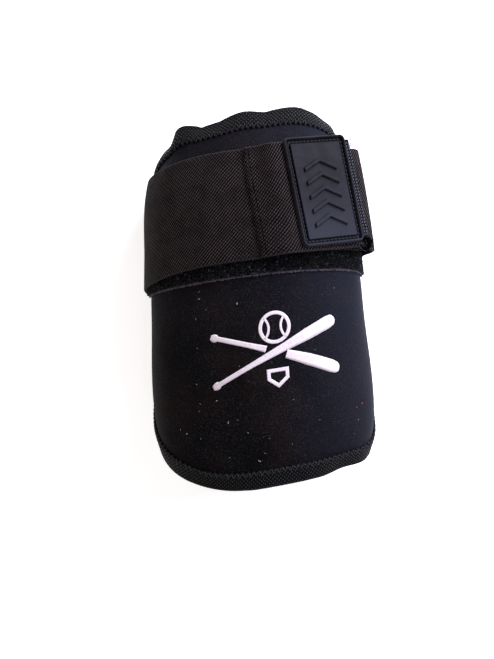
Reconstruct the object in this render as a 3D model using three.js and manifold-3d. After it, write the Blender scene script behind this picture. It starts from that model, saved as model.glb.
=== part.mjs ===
// A baseball batter's elbow guard: a padded half tube with a taped edge, closed behind the arm by one
// wide elastic strap that comes round the left side and fastens on the front under a rubber patch.
// Millimetres, +Z up. The guard lies on its open side with the strap under it, as it does on a table.
// +Y runs along the arm to the strap end, +X is the side where the strap ends, and the origin is at
// the middle of its footprint.
import * as THREE from "three";
import { mergeVertices } from "three/addons/utils/BufferGeometryUtils.js";
import Module from "manifold-3d";

const wasm = await Module();
wasm.setup();

const degrees = Math.PI / 180;

// The padded panel
const guardLength = 196;
const guardWidth = 120;
const guardDepth = 60; // crown above the panel's side edges
const shoulderRadius = 38;
const sideRadius = 95;
const crownSweep = 36 * degrees;
const tuckSweep = 13 * degrees;
const curlSkew = 6.5 * degrees; // the panel is curled a little askew, its right side nearer the strap end
const padThickness = 9;
const padEdgeThickness = 3.6;
const outerRollShare = 0.58; // share of the thinning at the edge that the outer face takes
const edgeRollReach = 17;
const rippleHeight = 3;
const rippleReach = 13; // how far in from the edge the puckers reach

// The edge tape
const tapeThickness = 1;
const tapeReach = 8;
const tapeGap = 0.6; // between the tape and the panel's edge that it holds
const fabricGap = 0.45; // between two layers of cloth

// The strap and what is on it
const strapWidth = 60;
const strapThickness = 1.8;
const strapSlack = 1.6; // between the strap and the panel's lower edges
const strapMiddle = 47.5; // along the arm, where the strap crosses the crown
const strapLean = 0.3 * degrees; // beside the panel's own skew
const loopStripWidth = 56;
const loopStripMiddle = 38.5;
const loopStripLean = -4 * degrees;
const loopStripThickness = 1.3;
const loopStripHalfGirth = 0.8; // share of the panel's half girth
const tangentAt = 38.5; // round the girth from the crown, where the flat free end touches the panel
const freeEndMargin = 3.5; // strap beyond the patch
const flatBlend = 16; // length over which the curved strap goes flat
const sewnOverlap = 5; // how far the sewn end reaches under the free end
const sewnBulge = 6;
const sideTurnShare = 0.84; // of the half girth, where the strap leaves the panel's side for the table
const turnReach = 16; // how far under the panel the turn ends
const turnFullness = 0.85; // how square the turn is
const hookTabThickness = 1.2;
const hookTabLength = 61;
const hookTabWidth = 56;
const hookTabSkew = 3 * degrees; // sewn on a little askew, so that its corner shows
const tabStep = 5; // length of the strap's step up onto the tab

// The rubber patch on the strap's free end
const patchLength = 57;
const patchWidth = 37;
const patchBase = 1.1;
const patchCorner = 3.2;
const patchShift = 1.3; // towards the strap's edge nearest the strap end
const rimWidth = 1.7;
const rimHeight = 1.3;
const grooveWidth = 1.9;
const plateauHeight = 0.7;
const reliefHeight = 0.7;
const reliefWidth = 1.5;
const chevronCount = 5;
const chevronPitch = 6.5;
const chevronWidth = 17;
const chevronDepth = 3.8;

// Cross sections of the panel. along runs from the elbow end, -1, to the strap end, 1. width is a share
// of guardWidth, crown a height as a share of guardDepth, edge a height as a share of strapRoom, and
// shift a share of guardWidth.
const padSections = [
  { along: -1.0, width: 0.95, crown: 0.88, edge: 0.0, shift: 0.01 },
  { along: -0.7, width: 0.995, crown: 0.96, edge: 0.0, shift: 0.008 },
  { along: -0.4, width: 0.99, crown: 1.0, edge: 0.0, shift: 0.004 },
  { along: 0.0, width: 0.965, crown: 1.0, edge: 0.9, shift: 0 },
  { along: 0.35, width: 0.935, crown: 0.985, edge: 1.0, shift: 0 },
  { along: 0.7, width: 0.89, crown: 0.94, edge: 1.0, shift: -0.005 },
  { along: 1.0, width: 0.78, crown: 0.84, edge: 1.5, shift: 0.01 },
];

// How square the outline's corners are: 2 is an ellipse, and a large number a rectangle
const cornerPowers = {
  elbow: { left: 2.0, right: 3.6 },
  strap: { left: 3.9, right: 3.3 },
};

// Puckers of the panel's edge. at is the direction from the panel's middle in degrees, 90 being the strap
// end, spread is the pucker's half width in degrees, and out and up are shares of rippleHeight.
const edgePuckers = [
  { at: 142, spread: 16, out: 0.6, up: 0 },
  { at: 116, spread: 8, out: 1.4, up: 0.8 },
  { at: 92, spread: 10, out: 0.7, up: 0.2 },
  { at: 72, spread: 14, out: 0.6, up: 0.4 },
  { at: 60, spread: 6, out: -0.4, up: -0.4 },
  { at: 53, spread: 6, out: 0.3, up: 0.5 },
  { at: -66, spread: 9, out: -0.5, up: -0.5 },
  { at: -112, spread: 18, out: -0.4, up: 0 },
];

// Worked out from the sizes above
const halfLength = guardLength / 2;
const halfWidth = guardWidth / 2;
const edgeThinning = padThickness - padEdgeThickness;
const strapRoom = strapThickness + strapSlack; // what the strap takes up below the panel
const loopRise = fabricGap;
const strapOnLoopRise = loopRise + loopStripThickness + fabricGap;
const tabRise = strapOnLoopRise;
const strapOnTabRise = tabRise + hookTabThickness + fabricGap;

const clamp01 = (value) => Math.min(1, Math.max(0, value));
const smooth = (value) => clamp01(value) ** 2 * (3 - 2 * clamp01(value));
const mix = (from, to, share) => from + (to - from) * share;

// One column of a table at a place between its rows, on a smooth curve through them
function column(rows, name, at) {
  const last = rows.length - 1;
  const place = Math.min(rows[last].along, Math.max(rows[0].along, at));
  let i = rows.findIndex((row) => row.along >= place) - 1;
  i = Math.min(last - 1, Math.max(0, i));
  const slope = (k) => {
    const before = rows[Math.max(0, k - 1)];
    const after = rows[Math.min(last, k + 1)];
    return (after[name] - before[name]) / (after.along - before.along);
  };
  const span = rows[i + 1].along - rows[i].along;
  const t = (place - rows[i].along) / span;
  const rise = rows[i + 1][name] - rows[i][name];
  const a = slope(i) * span - rise;
  const b = rise - slope(i + 1) * span;
  return mix(rows[i][name], rows[i + 1][name], t) + t * (1 - t) * (a * (1 - t) + b * t);
}

// Half a cross section from the crown down, as a crown arc, a shoulder arc and a side arc
const crownRadius = (halfWidth - shoulderRadius * (1 - Math.sin(crownSweep))) / Math.sin(crownSweep);
const sectionArcs = [
  { radius: crownRadius, from: 0, to: crownSweep },
  { radius: shoulderRadius, from: crownSweep, to: Math.PI / 2 },
  { radius: sideRadius, from: Math.PI / 2, to: Math.PI / 2 + tuckSweep },
];
const halfGirth = sectionArcs.reduce((sum, arc) => sum + arc.radius * (arc.to - arc.from), 0);
const meanHalfSize = (halfLength + halfGirth) / 2;

function sectionPoint(distance) {
  let left = distance;
  let x = 0;
  let drop = 0;
  for (const arc of sectionArcs) {
    const sweep = Math.min(arc.to - arc.from, left / arc.radius);
    const angle = arc.from + sweep;
    x += arc.radius * (Math.sin(angle) - Math.sin(arc.from));
    drop += arc.radius * (Math.cos(arc.from) - Math.cos(angle));
    left -= sweep * arc.radius;
  }
  return { x: x / halfWidth, drop };
}
const sectionDrop = sectionPoint(halfGirth).drop;

// The panel's outer skin at its full thickness. across is a share of the half girth, along of the half length.
function skinPoint(across, along) {
  const section = sectionPoint(Math.min(1, Math.abs(across)) * halfGirth);
  const width = column(padSections, "width", along) * halfWidth;
  const crown = column(padSections, "crown", along) * guardDepth;
  const edge = column(padSections, "edge", along) * strapRoom;
  const height = mix(crown, edge, section.drop / sectionDrop);
  const shift = column(padSections, "shift", along) * guardWidth;
  const x = Math.sign(across) * section.x * width + shift;
  return new THREE.Vector3(x, along * halfLength + x * Math.tan(curlSkew), height);
}

function skinNormal(across, along) {
  const step = 0.004;
  const a = Math.min(1 - step, Math.max(step - 1, across));
  const overGirth = skinPoint(a + step, along).sub(skinPoint(a - step, along));
  const overLength = skinPoint(a, along + step).sub(skinPoint(a, along - step));
  return overGirth.cross(overLength).normalize();
}

const raised = (across, along, rise) =>
  skinPoint(across, along).addScaledVector(skinNormal(across, along), rise);

function cornerPower(angle) {
  const rightward = smooth((1 + Math.SQRT2 * Math.cos(angle)) / 2);
  const strapward = smooth((1 + Math.SQRT2 * Math.sin(angle)) / 2);
  const elbow = mix(cornerPowers.elbow.left, cornerPowers.elbow.right, rightward);
  const strap = mix(cornerPowers.strap.left, cornerPowers.strap.right, rightward);
  return mix(elbow, strap, strapward);
}

// How far the panel's outline lies from its middle in one direction, as a share of its half sizes
function outlineReach(angle) {
  const power = cornerPower(angle);
  return (Math.abs(Math.cos(angle)) ** power + Math.abs(Math.sin(angle)) ** power) ** (-1 / power);
}

// How much longer a line towards the middle is than one straight in from the outline
function outlineSlant(angle) {
  const step = 0.01;
  const turn = (outlineReach(angle + step) - outlineReach(angle - step)) / (2 * step * outlineReach(angle));
  return Math.hypot(1, turn);
}

function puckerAt(angle, name) {
  return edgePuckers.reduce((sum, pucker) => {
    const off = Math.atan2(Math.sin(angle - pucker.at * degrees), Math.cos(angle - pucker.at * degrees));
    return sum + pucker[name] * rippleHeight * smooth(1 - Math.abs(off) / (pucker.spread * degrees));
  }, 0);
}

// A place on the panel, given by the direction from its middle and the distance in from its edge. inward
// then draws the place towards the middle.
function placeOnPanel(angle, depth, inward = 1) {
  const edgeShare = smooth(1 - depth / rippleReach);
  const inset = depth * outlineSlant(angle) - puckerAt(angle, "out") * edgeShare;
  const share = (outlineReach(angle) - inset / meanHalfSize) * inward;
  return { across: share * Math.cos(angle), along: share * Math.sin(angle), depth, angle };
}

function panelFace({ across, along, depth, angle }, side) {
  const roll = (1 - clamp01(depth / edgeRollReach)) ** 2;
  const pucker = puckerAt(angle, "up") * smooth(1 - depth / rippleReach);
  const outer = -outerRollShare * edgeThinning * roll;
  const inner = -padThickness + (1 - outerRollShare) * edgeThinning * roll;
  return raised(across, along, (side === "outer" ? outer : inner) + pucker);
}

// Mesh helpers. A geometry is made from a list of points and a list of four-cornered faces.
function meshFrom(points, faces) {
  const geometry = new THREE.BufferGeometry();
  const positions = points.flatMap((p) => [p.x, p.y, p.z]);
  geometry.setAttribute("position", new THREE.Float32BufferAttribute(positions, 3));
  geometry.setIndex(faces.flatMap((f) => (f.length === 3 ? f : [f[0], f[1], f[2], f[0], f[2], f[3]])));
  geometry.computeVertexNormals();
  return geometry;
}

// A sheet with a thickness: two grids of points of the same size, joined round their edges
function sheetSolid(outer, inner) {
  const rows = outer.length;
  const columns = outer[0].length;
  const points = [...outer.flat(), ...inner.flat()];
  const top = (i, j) => i * columns + j;
  const under = (i, j) => rows * columns + i * columns + j;
  const faces = [];
  for (let i = 0; i < rows - 1; i++) {
    for (let j = 0; j < columns - 1; j++) {
      faces.push([top(i, j), top(i + 1, j), top(i + 1, j + 1), top(i, j + 1)]);
      faces.push([under(i, j), under(i, j + 1), under(i + 1, j + 1), under(i + 1, j)]);
    }
    faces.push([top(i, 0), under(i, 0), under(i + 1, 0), top(i + 1, 0)]);
    const j = columns - 1;
    faces.push([top(i, j), top(i + 1, j), under(i + 1, j), under(i, j)]);
  }
  for (let j = 0; j < columns - 1; j++) {
    faces.push([top(0, j), top(0, j + 1), under(0, j + 1), under(0, j)]);
    const i = rows - 1;
    faces.push([top(i, j), under(i, j), under(i, j + 1), top(i, j + 1)]);
  }
  return meshFrom(points, faces);
}

// A closed loop of equal cross sections
function loopSolid(sections) {
  const size = sections[0].length;
  const faces = sections.flatMap((section, i) => {
    const next = (i + 1) % sections.length;
    return section.map((_, j) => {
      const k = (j + 1) % size;
      return [i * size + j, i * size + k, next * size + k, next * size + j];
    });
  });
  return meshFrom(sections.flat(), faces);
}

// Directions round the panel, and depths in from its edge, that the panel and its tape share
const roundCount = 96;
const roundAngles = Array.from({ length: roundCount }, (_, i) => (i / roundCount) * 2 * Math.PI);
const tapeDepths = [0, tapeReach / 2, tapeReach];

// The padded panel: rings of points from its edge to its middle, on both faces
function paddedPanel() {
  const outerDepths = [...tapeDepths, (tapeReach + edgeRollReach) / 2, edgeRollReach];
  const innerShares = [0.86, 0.72, 0.58, 0.44, 0.3, 0.15];
  const ringOf = (place, side) => roundAngles.map((angle) => panelFace(place(angle), side));
  const places = [
    ...outerDepths.map((depth) => (angle) => placeOnPanel(angle, depth)),
    ...innerShares.map((share) => (angle) => placeOnPanel(angle, edgeRollReach, share)),
  ];
  const outer = places.map((place) => ringOf(place, "outer"));
  const inner = places.map((place) => ringOf(place, "inner"));
  const points = [...outer.flat(), ...inner.flat(), raised(0, 0, 0), raised(0, 0, -padThickness)];
  const ringCount = places.length;
  const at = (side, ring, i) => (side * ringCount + ring) * roundCount + (i % roundCount);
  const faces = [];
  for (let i = 0; i < roundCount; i++) {
    for (let ring = 0; ring < ringCount - 1; ring++) {
      faces.push([at(0, ring, i), at(0, ring, i + 1), at(0, ring + 1, i + 1), at(0, ring + 1, i)]);
      faces.push([at(1, ring + 1, i), at(1, ring + 1, i + 1), at(1, ring, i + 1), at(1, ring, i)]);
    }
    const middle = points.length - 2;
    faces.push([at(0, ringCount - 1, i), at(0, ringCount - 1, i + 1), middle]);
    faces.push([at(1, ringCount - 1, i + 1), at(1, ringCount - 1, i), middle + 1]);
    faces.push([at(0, 0, i), at(1, 0, i), at(1, 0, i + 1), at(0, 0, i + 1)]);
  }
  return meshFrom(points, faces);
}

// The edge tape: a folded tape that holds the panel's edge between its two legs
function edgeTape() {
  const near = tapeGap;
  const far = tapeGap + tapeThickness;
  const sections = roundAngles.map((angle) => {
    const faceAt = (depth, side, rise) => {
      const place = placeOnPanel(angle, depth);
      const normal = skinNormal(place.across, place.along);
      return panelFace(place, side).addScaledVector(normal, rise);
    };
    const edge = placeOnPanel(angle, 0);
    const normal = skinNormal(edge.across, edge.along);
    const round = panelFace(placeOnPanel(angle + 0.01, 0), "outer");
    round.sub(panelFace(placeOnPanel(angle - 0.01, 0), "outer"));
    const outward = round.cross(normal).normalize();
    const fold = (share, side, rise, reach) =>
      panelFace(edge, side).addScaledVector(normal, rise * share).addScaledVector(outward, reach);
    const middle = panelFace(edge, "outer").add(panelFace(edge, "inner")).multiplyScalar(0.5);
    const legs = [...tapeDepths].reverse();
    return [
      ...legs.map((depth) => faceAt(depth, "outer", far)),
      fold(0.55, "outer", far, far * 0.75),
      middle.addScaledVector(outward, far * 1.15),
      fold(0.55, "inner", -far, far * 0.75),
      ...tapeDepths.map((depth) => faceAt(depth, "inner", -far)),
      ...legs.map((depth) => faceAt(depth, "inner", -near)).slice(0, -1),
      fold(1, "inner", -near, near),
      fold(1, "outer", near, near),
      ...tapeDepths.map((depth) => faceAt(depth, "outer", near)).slice(1),
    ];
  });
  return loopSolid(sections);
}

// The loop strip, sewn over the front from side to side
const sideways = (distance) =>
  Math.sign(distance) * sectionPoint(Math.min(halfGirth, Math.abs(distance))).x * halfWidth;
const spread = (from, to, count) => Array.from({ length: count + 1 }, (_, i) => mix(from, to, i / count));

// How far round the girth the strip may reach and stay clear of the tape
function insideTape(along) {
  const inner = 1 - (tapeReach + 2 * tapeGap) / meanHalfSize;
  const share = Math.min(1, Math.abs(along) / inner);
  const power = Math.min(cornerPowers.strap.left, cornerPowers.strap.right);
  return inner * (1 - share ** power) ** (1 / power);
}

function loopStrip() {
  const face = (rise) =>
    spread(-1, 1, 40).map((end) =>
      spread(-0.5, 0.5, 8).map((share) => {
        const lean = end * halfWidth * Math.tan(loopStripLean);
        const along = (loopStripMiddle + lean + share * loopStripWidth) / halfLength;
        const across = end * Math.min(loopStripHalfGirth, insideTape(along));
        return raised(across, along, rise);
      }),
    );
  return sheetSolid(face(loopRise + loopStripThickness), face(loopRise));
}

// The strap's route. Distances along it are counted on the panel's girth, from the crown to the right.
const flatFrom = tangentAt - patchWidth / 2 - 1;
const freeEnd = tangentAt + patchWidth / 2 + freeEndMargin;
const sewnStart = freeEnd - sewnOverlap;
const sideTurn = sideTurnShare * halfGirth;
const tabStart = freeEnd - hookTabLength;

// How far along the arm the strap's middle lies, at a distance round the girth
const strapLine = (distance) => strapMiddle + sideways(distance) * Math.tan(strapLean);

// The plane that the patch holds the free end in: tangent to the panel under the patch's middle
function freeEndPlane() {
  const across = tangentAt / halfGirth;
  const y = strapLine(tangentAt);
  const origin = skinPoint(across, y / halfLength);
  const normal = skinNormal(across, y / halfLength);
  const girthward = skinPoint(across + 0.01, y / halfLength).sub(skinPoint(across - 0.01, y / halfLength));
  girthward.addScaledVector(normal, -girthward.dot(normal)).normalize();
  const lengthward = new THREE.Vector3().crossVectors(normal, girthward).normalize();
  const x = girthward.clone().addScaledVector(lengthward, Math.tan(strapLean)).normalize();
  return { origin, normal, x, y: new THREE.Vector3().crossVectors(normal, x).normalize() };
}
const plane = freeEndPlane();

// A point over the front: on the panel's curve, and near the free end in the patch's plane
function frontPoint(distance, w, rise) {
  const y = strapLine(distance) + w;
  const curved = raised(distance / halfGirth, y / halfLength, rise);
  const flat = plane.origin
    .clone()
    .addScaledVector(plane.x, distance - tangentAt)
    .addScaledVector(plane.y, w)
    .addScaledVector(plane.normal, rise);
  return curved.lerp(flat, smooth((distance - flatFrom + flatBlend) / flatBlend));
}

// The strap's rise over the panel: a step up where the hook tab starts under it
const strapRise = (distance) =>
  mix(strapOnLoopRise, strapOnTabRise, smooth((distance - tabStart) / tabStep + 1.6));

// The strap round the panel's side edge: from the side down to the table, on a curve with two handles
function sideTurnPoint(side, w, t, thickness) {
  const y = strapLine(side * sideTurn) + w;
  const along = y / halfLength;
  const across = (side * sideTurn) / halfGirth;
  const start = raised(across, along, strapOnLoopRise + strapThickness / 2);
  const down = skinPoint(across + side * 0.01, along).sub(skinPoint(across - side * 0.01, along));
  down.setY(0).normalize();
  const table = strapThickness / 2;
  const corner = start.clone().addScaledVector(down, (start.z - table) / -down.z);
  const end = corner.clone().setX(corner.x - side * turnReach);
  const curve = new THREE.CubicBezierCurve3(
    start,
    start.clone().lerp(corner, turnFullness),
    end.clone().lerp(corner, turnFullness),
    end,
  );
  const tangent = curve.getTangent(t);
  const normal = new THREE.Vector3(-tangent.z, 0, tangent.x).multiplyScalar(side);
  return curve.getPoint(t).addScaledVector(normal.normalize(), thickness);
}

function elasticStrap() {
  const widths = spread(-strapWidth / 2, strapWidth / 2, 5);
  const half = strapThickness / 2;
  const sewn = (distance) => (w, side) => {
    const share = (distance - sewnStart) / (sideTurn - sewnStart);
    const bulge = sewnBulge * Math.sin(Math.PI * clamp01(share)) ** 2;
    const along = (strapLine(distance) + w) / halfLength;
    return raised(distance / halfGirth, along, strapOnLoopRise + half + bulge + side * half);
  };
  const turn = (side, t) => (w, face) => sideTurnPoint(side, w, t, face * half);
  const front = (distance) => (w, side) => frontPoint(distance, w, strapRise(distance) + half + side * half);
  const turnSteps = spread(0, 1, 7);
  const stations = [
    ...spread(sewnStart, sideTurn, 10).slice(0, -1).map(sewn),
    ...turnSteps.map((t) => turn(1, t)),
    ...[...turnSteps].reverse().map((t) => turn(-1, t)),
    ...spread(-sideTurn, freeEnd, 50).slice(1).map(front),
  ];
  const face = (side) => stations.map((station) => widths.map((w) => station(w, side)));
  return sheetSolid(face(1), face(-1));
}

// The hook tab, sewn under the strap's free end
function hookTab() {
  const face = (rise) =>
    spread(tabStart, freeEnd + 0.5, 14).map((distance) =>
      spread(-hookTabWidth / 2, hookTabWidth / 2, 5).map((w) => {
        const slip = -(distance - tabStart) * Math.tan(hookTabSkew);
        return frontPoint(distance, w + slip, rise);
      }),
    );
  return sheetSolid(face(tabRise + hookTabThickness), face(tabRise));
}

// Joins solids with manifold-3d
function asSolid(geometry) {
  const bare = geometry.clone();
  bare.deleteAttribute("normal");
  bare.deleteAttribute("uv");
  const merged = mergeVertices(bare, 1e-4);
  return new wasm.Manifold(
    new wasm.Mesh({
      numProp: 3,
      vertProperties: new Float32Array(merged.attributes.position.array),
      triVerts: new Uint32Array(merged.index.array),
    }),
  );
}

function asGeometry(solid) {
  const { vertProperties, triVerts } = solid.getMesh();
  const geometry = new THREE.BufferGeometry();
  geometry.setAttribute("position", new THREE.BufferAttribute(new Float32Array(vertProperties), 3));
  geometry.setIndex(new THREE.BufferAttribute(new Uint32Array(triVerts), 1));
  const loose = geometry.toNonIndexed();
  loose.computeVertexNormals();
  return loose;
}

function roundedRectangle(width, length, radius) {
  const shape = new THREE.Shape();
  const x = width / 2 - radius;
  const y = length / 2 - radius;
  shape.absarc(x, y, radius, 0, Math.PI / 2);
  shape.absarc(-x, y, radius, Math.PI / 2, Math.PI);
  shape.absarc(-x, -y, radius, Math.PI, 1.5 * Math.PI);
  shape.absarc(x, -y, radius, 1.5 * Math.PI, 2 * Math.PI);
  return shape;
}

const slab = (shape, height, from = 0) =>
  new THREE.ExtrudeGeometry(shape, { depth: height, bevelEnabled: false, curveSegments: 4 })
    .translate(0, 0, from);

// The rubber patch: a base with a raised rim, a stitching groove, a plateau and raised chevrons
function rubberPatch() {
  const rim = roundedRectangle(patchWidth, patchLength, patchCorner);
  const rimHole = roundedRectangle(
    patchWidth - 2 * rimWidth,
    patchLength - 2 * rimWidth,
    patchCorner - rimWidth,
  );
  rim.holes.push(rimHole);
  const plateauInset = 2 * (rimWidth + grooveWidth);
  const plateau = roundedRectangle(patchWidth - plateauInset, patchLength - plateauInset, 0.6);
  const sink = 0.2; // raised pieces start inside what carries them
  let patch = asSolid(slab(roundedRectangle(patchWidth, patchLength, patchCorner), patchBase))
    .add(asSolid(slab(rim, rimHeight + sink, patchBase - sink)))
    .add(asSolid(slab(plateau, plateauHeight + sink, patchBase - sink)));
  for (let i = 0; i < chevronCount; i++) {
    const tip = (i - (chevronCount - 1) / 2) * chevronPitch;
    const foot = tip - chevronDepth;
    const chevron = new THREE.Shape([
      new THREE.Vector2(-chevronWidth / 2, foot),
      new THREE.Vector2(0, tip),
      new THREE.Vector2(chevronWidth / 2, foot),
      new THREE.Vector2(chevronWidth / 2, foot + reliefWidth),
      new THREE.Vector2(0, tip + reliefWidth),
      new THREE.Vector2(-chevronWidth / 2, foot + reliefWidth),
    ]);
    const top = patchBase + plateauHeight - sink;
    patch = patch.add(asSolid(slab(chevron, reliefHeight + sink, top)));
  }
  return asGeometry(patch);
}

function material(color, roughness) {
  return new THREE.MeshStandardMaterial({ color, roughness, metalness: 0 });
}

function piece(name, geometry, finish) {
  const mesh = new THREE.Mesh(geometry, finish);
  mesh.name = name;
  return mesh;
}

const guard = new THREE.Group();
guard.add(piece("padded_panel", paddedPanel(), material(0x1c1a20, 0.95)));
guard.add(piece("edge_tape", edgeTape(), material(0x1a1a20, 0.7)));
guard.add(piece("loop_strip", loopStrip(), material(0x0b0b0e, 1)));
guard.add(piece("elastic_strap", elasticStrap(), material(0x17141a, 0.85)));
guard.add(piece("hook_tab", hookTab(), material(0x0a0a0c, 0.8)));

const patch = piece("rubber_patch", rubberPatch(), material(0x34343e, 0.5));
patch.matrixAutoUpdate = false;
patch.matrix.makeBasis(plane.x, plane.y, plane.normal);
patch.matrix.setPosition(
  plane.origin
    .clone()
    .addScaledVector(plane.y, patchShift)
    .addScaledVector(plane.normal, strapOnTabRise + strapThickness + fabricGap),
);
guard.add(patch);

// The panel's skin is modelled from its own foot, so the group is set with its lowest point on the table
// and the middle of its footprint at the origin.
guard.updateMatrixWorld(true);
const bounds = new THREE.Box3().setFromObject(guard);
const middle = bounds.getCenter(new THREE.Vector3());
guard.position.set(-middle.x, -middle.y, -bounds.min.z);

export default guard;
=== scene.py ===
import math

import bpy
import numpy as np
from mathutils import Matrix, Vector


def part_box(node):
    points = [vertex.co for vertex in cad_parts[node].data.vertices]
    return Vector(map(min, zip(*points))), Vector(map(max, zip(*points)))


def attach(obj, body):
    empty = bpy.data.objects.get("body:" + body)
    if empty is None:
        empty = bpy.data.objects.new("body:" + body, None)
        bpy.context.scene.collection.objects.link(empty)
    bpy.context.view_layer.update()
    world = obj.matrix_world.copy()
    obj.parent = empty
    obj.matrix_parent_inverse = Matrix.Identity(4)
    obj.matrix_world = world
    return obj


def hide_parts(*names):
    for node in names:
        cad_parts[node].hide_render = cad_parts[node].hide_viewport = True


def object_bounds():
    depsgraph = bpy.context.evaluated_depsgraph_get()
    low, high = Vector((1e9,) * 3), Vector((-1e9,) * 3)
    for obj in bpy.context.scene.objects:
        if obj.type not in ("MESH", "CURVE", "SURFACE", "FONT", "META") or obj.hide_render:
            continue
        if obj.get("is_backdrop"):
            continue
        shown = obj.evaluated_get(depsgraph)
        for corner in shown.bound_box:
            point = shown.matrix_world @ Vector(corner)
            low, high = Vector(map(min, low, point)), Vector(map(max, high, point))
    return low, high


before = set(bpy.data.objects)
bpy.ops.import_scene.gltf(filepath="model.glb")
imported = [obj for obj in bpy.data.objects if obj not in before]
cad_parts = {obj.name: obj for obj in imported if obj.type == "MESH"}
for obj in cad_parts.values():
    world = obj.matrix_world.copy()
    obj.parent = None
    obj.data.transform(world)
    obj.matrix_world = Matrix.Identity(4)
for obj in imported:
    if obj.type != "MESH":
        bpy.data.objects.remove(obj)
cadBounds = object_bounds()
rng = np.random.default_rng(41)
print("scene: frame loaded")

millimetre = 0.001

pad = {
    "length": 196,
    "width": 120,
    "depth": 60,  # crown above the side edges
    "shoulderRadius": 38,
    "sideRadius": 95,
    "crownSweep": math.radians(36),
    "tuckSweep": math.radians(13),  # of the sides, under their widest place
    "curlSkew": math.radians(6.5),
    "thickness": 9,
    "edgeThickness": 3.6,
    "outerRollShare": 0.58,  # of the thinning that the outer face takes
    "rollReach": 17,
    "rippleHeight": 3,
    "rippleReach": 13,
    "strapRoom": 3.4,
    "gridCount": 168,
    "clothGridCount": 48,
    "pressure": 4.0,
    "clothFrames": 20,
    "clothQuality": 6,
    "heldLevels": 8,  # steps of the pinning weight
    "puffLimit": 1.6,
    "slackRelief": 0.22,  # of the broad unevenness of the cloth
}

# Shares of the pad's sizes at its sections from the elbow end, -1, to the strap end, 1
padSections = {
    "along": (-1.0, -0.7, -0.4, 0.0, 0.35, 0.7, 1.0),
    "width": (0.95, 0.995, 0.99, 0.965, 0.935, 0.89, 0.78),
    "crown": (0.88, 0.96, 1.0, 1.0, 0.985, 0.94, 0.84),
    "edge": (0.0, 0.0, 0.0, 0.9, 1.0, 1.0, 1.5),
    "shift": (0.01, 0.008, 0.004, 0, 0, -0.005, 0.01),
}
cornerPowers = {"elbow": (2.0, 3.6), "strap": (3.9, 3.3)}  # left, right

# Places and spreads in degrees round the outline from the right, heights as shares of the ripple's height
edgePuckers = {
    "at": (134, 116, 92, 72, 60, 53, -66, -112),
    "spread": (13, 8, 10, 14, 6, 6, 9, 18),
    "out": (1.0, 1.4, 0.7, 0.6, 0.1, 0.2, -0.5, -0.4),
    "up": (1.0, 0.8, 0.2, 0.4, -0.1, 0.3, -0.5, 0),
}

halfLength = pad["length"] / 2
halfWidth = pad["width"] / 2


# Numbers and vectors
def smooth(value):  # 3t^2 - 2t^3, held between 0 and 1
    t = np.clip(value, 0, 1)
    return t * t * (3 - 2 * t)


def mix(low, high, share):  # a straight blend
    return low + (high - low) * share


def unit(vectors):  # each vector divided by its length
    return vectors / np.linalg.norm(vectors, axis=-1, keepdims=True)


def column(name, at):  # a cubic through the table's rows, with the slope of each row's neighbours
    rows = np.array(padSections["along"])
    values = np.array(padSections[name], float)
    last = len(rows) - 1
    before = np.maximum(np.arange(last + 1) - 1, 0)
    after = np.minimum(np.arange(last + 1) + 1, last)
    slopes = (values[after] - values[before]) / (rows[after] - rows[before])
    place = np.clip(at, rows[0], rows[-1])
    i = np.clip(np.searchsorted(rows, place) - 1, 0, last - 1)
    span = rows[i + 1] - rows[i]
    t = (place - rows[i]) / span
    rise = values[i + 1] - values[i]
    a = slopes[i] * span - rise
    b = rise - slopes[i + 1] * span
    return mix(values[i], values[i + 1], t) + t * (1 - t) * (a * (1 - t) + b * t)


# Half a cross section: crown, shoulder and side arcs, each as its radius and its two angles
crownRadius = halfWidth - pad["shoulderRadius"] * (1 - math.sin(pad["crownSweep"]))
crownRadius /= math.sin(pad["crownSweep"])
sectionArcs = (
    (crownRadius, 0, pad["crownSweep"]),
    (pad["shoulderRadius"], pad["crownSweep"], math.pi / 2),
    (pad["sideRadius"], math.pi / 2, math.pi / 2 + pad["tuckSweep"]),
)
halfGirth = sum(radius * (end - start) for radius, start, end in sectionArcs)
meanHalfSize = (halfLength + halfGirth) / 2


def sectionPoint(distance):  # sideways share and drop at a distance along the three arcs in turn
    left = np.asarray(distance, float)
    x = np.zeros_like(left)
    drop = np.zeros_like(left)
    for radius, start, end in sectionArcs:
        sweep = np.clip(left / radius, 0, end - start)
        x = x + radius * (np.sin(start + sweep) - math.sin(start))
        drop = drop + radius * (math.cos(start) - np.cos(start + sweep))
        left = left - sweep * radius
    return x / halfWidth, drop


sectionDrop = sectionPoint(halfGirth)[1]


def skinPoint(across, along):  # the section's point, scaled to this place's width, crown and edge heights
    across, along = np.broadcast_arrays(np.asarray(across, float), np.asarray(along, float))
    share, drop = sectionPoint(np.minimum(1, np.abs(across)) * halfGirth)
    width = column("width", along) * halfWidth
    crown = column("crown", along) * pad["depth"]
    edge = column("edge", along) * pad["strapRoom"]
    x = np.sign(across) * share * width + column("shift", along) * pad["width"]
    y = along * halfLength + x * math.tan(pad["curlSkew"])
    return np.stack([x, y, mix(crown, edge, drop / sectionDrop)], axis=-1)


def skinNormal(across, along):  # the cross product of a small step round and a small step along
    step = 0.004
    a = np.clip(across, step - 1, 1 - step)
    overGirth = skinPoint(a + step, along) - skinPoint(a - step, along)
    overLength = skinPoint(a, along + step) - skinPoint(a, along - step)
    return unit(np.cross(overGirth, overLength))


def roundward(across, along):  # the way round the girth, from a small step to either side
    return skinPoint(across + 0.01, along) - skinPoint(across - 0.01, along)


def raised(across, along, rise):  # a skin point moved along its normal
    rise = np.asarray(rise, float)[..., None]
    return skinPoint(across, along) + skinNormal(across, along) * rise


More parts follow.
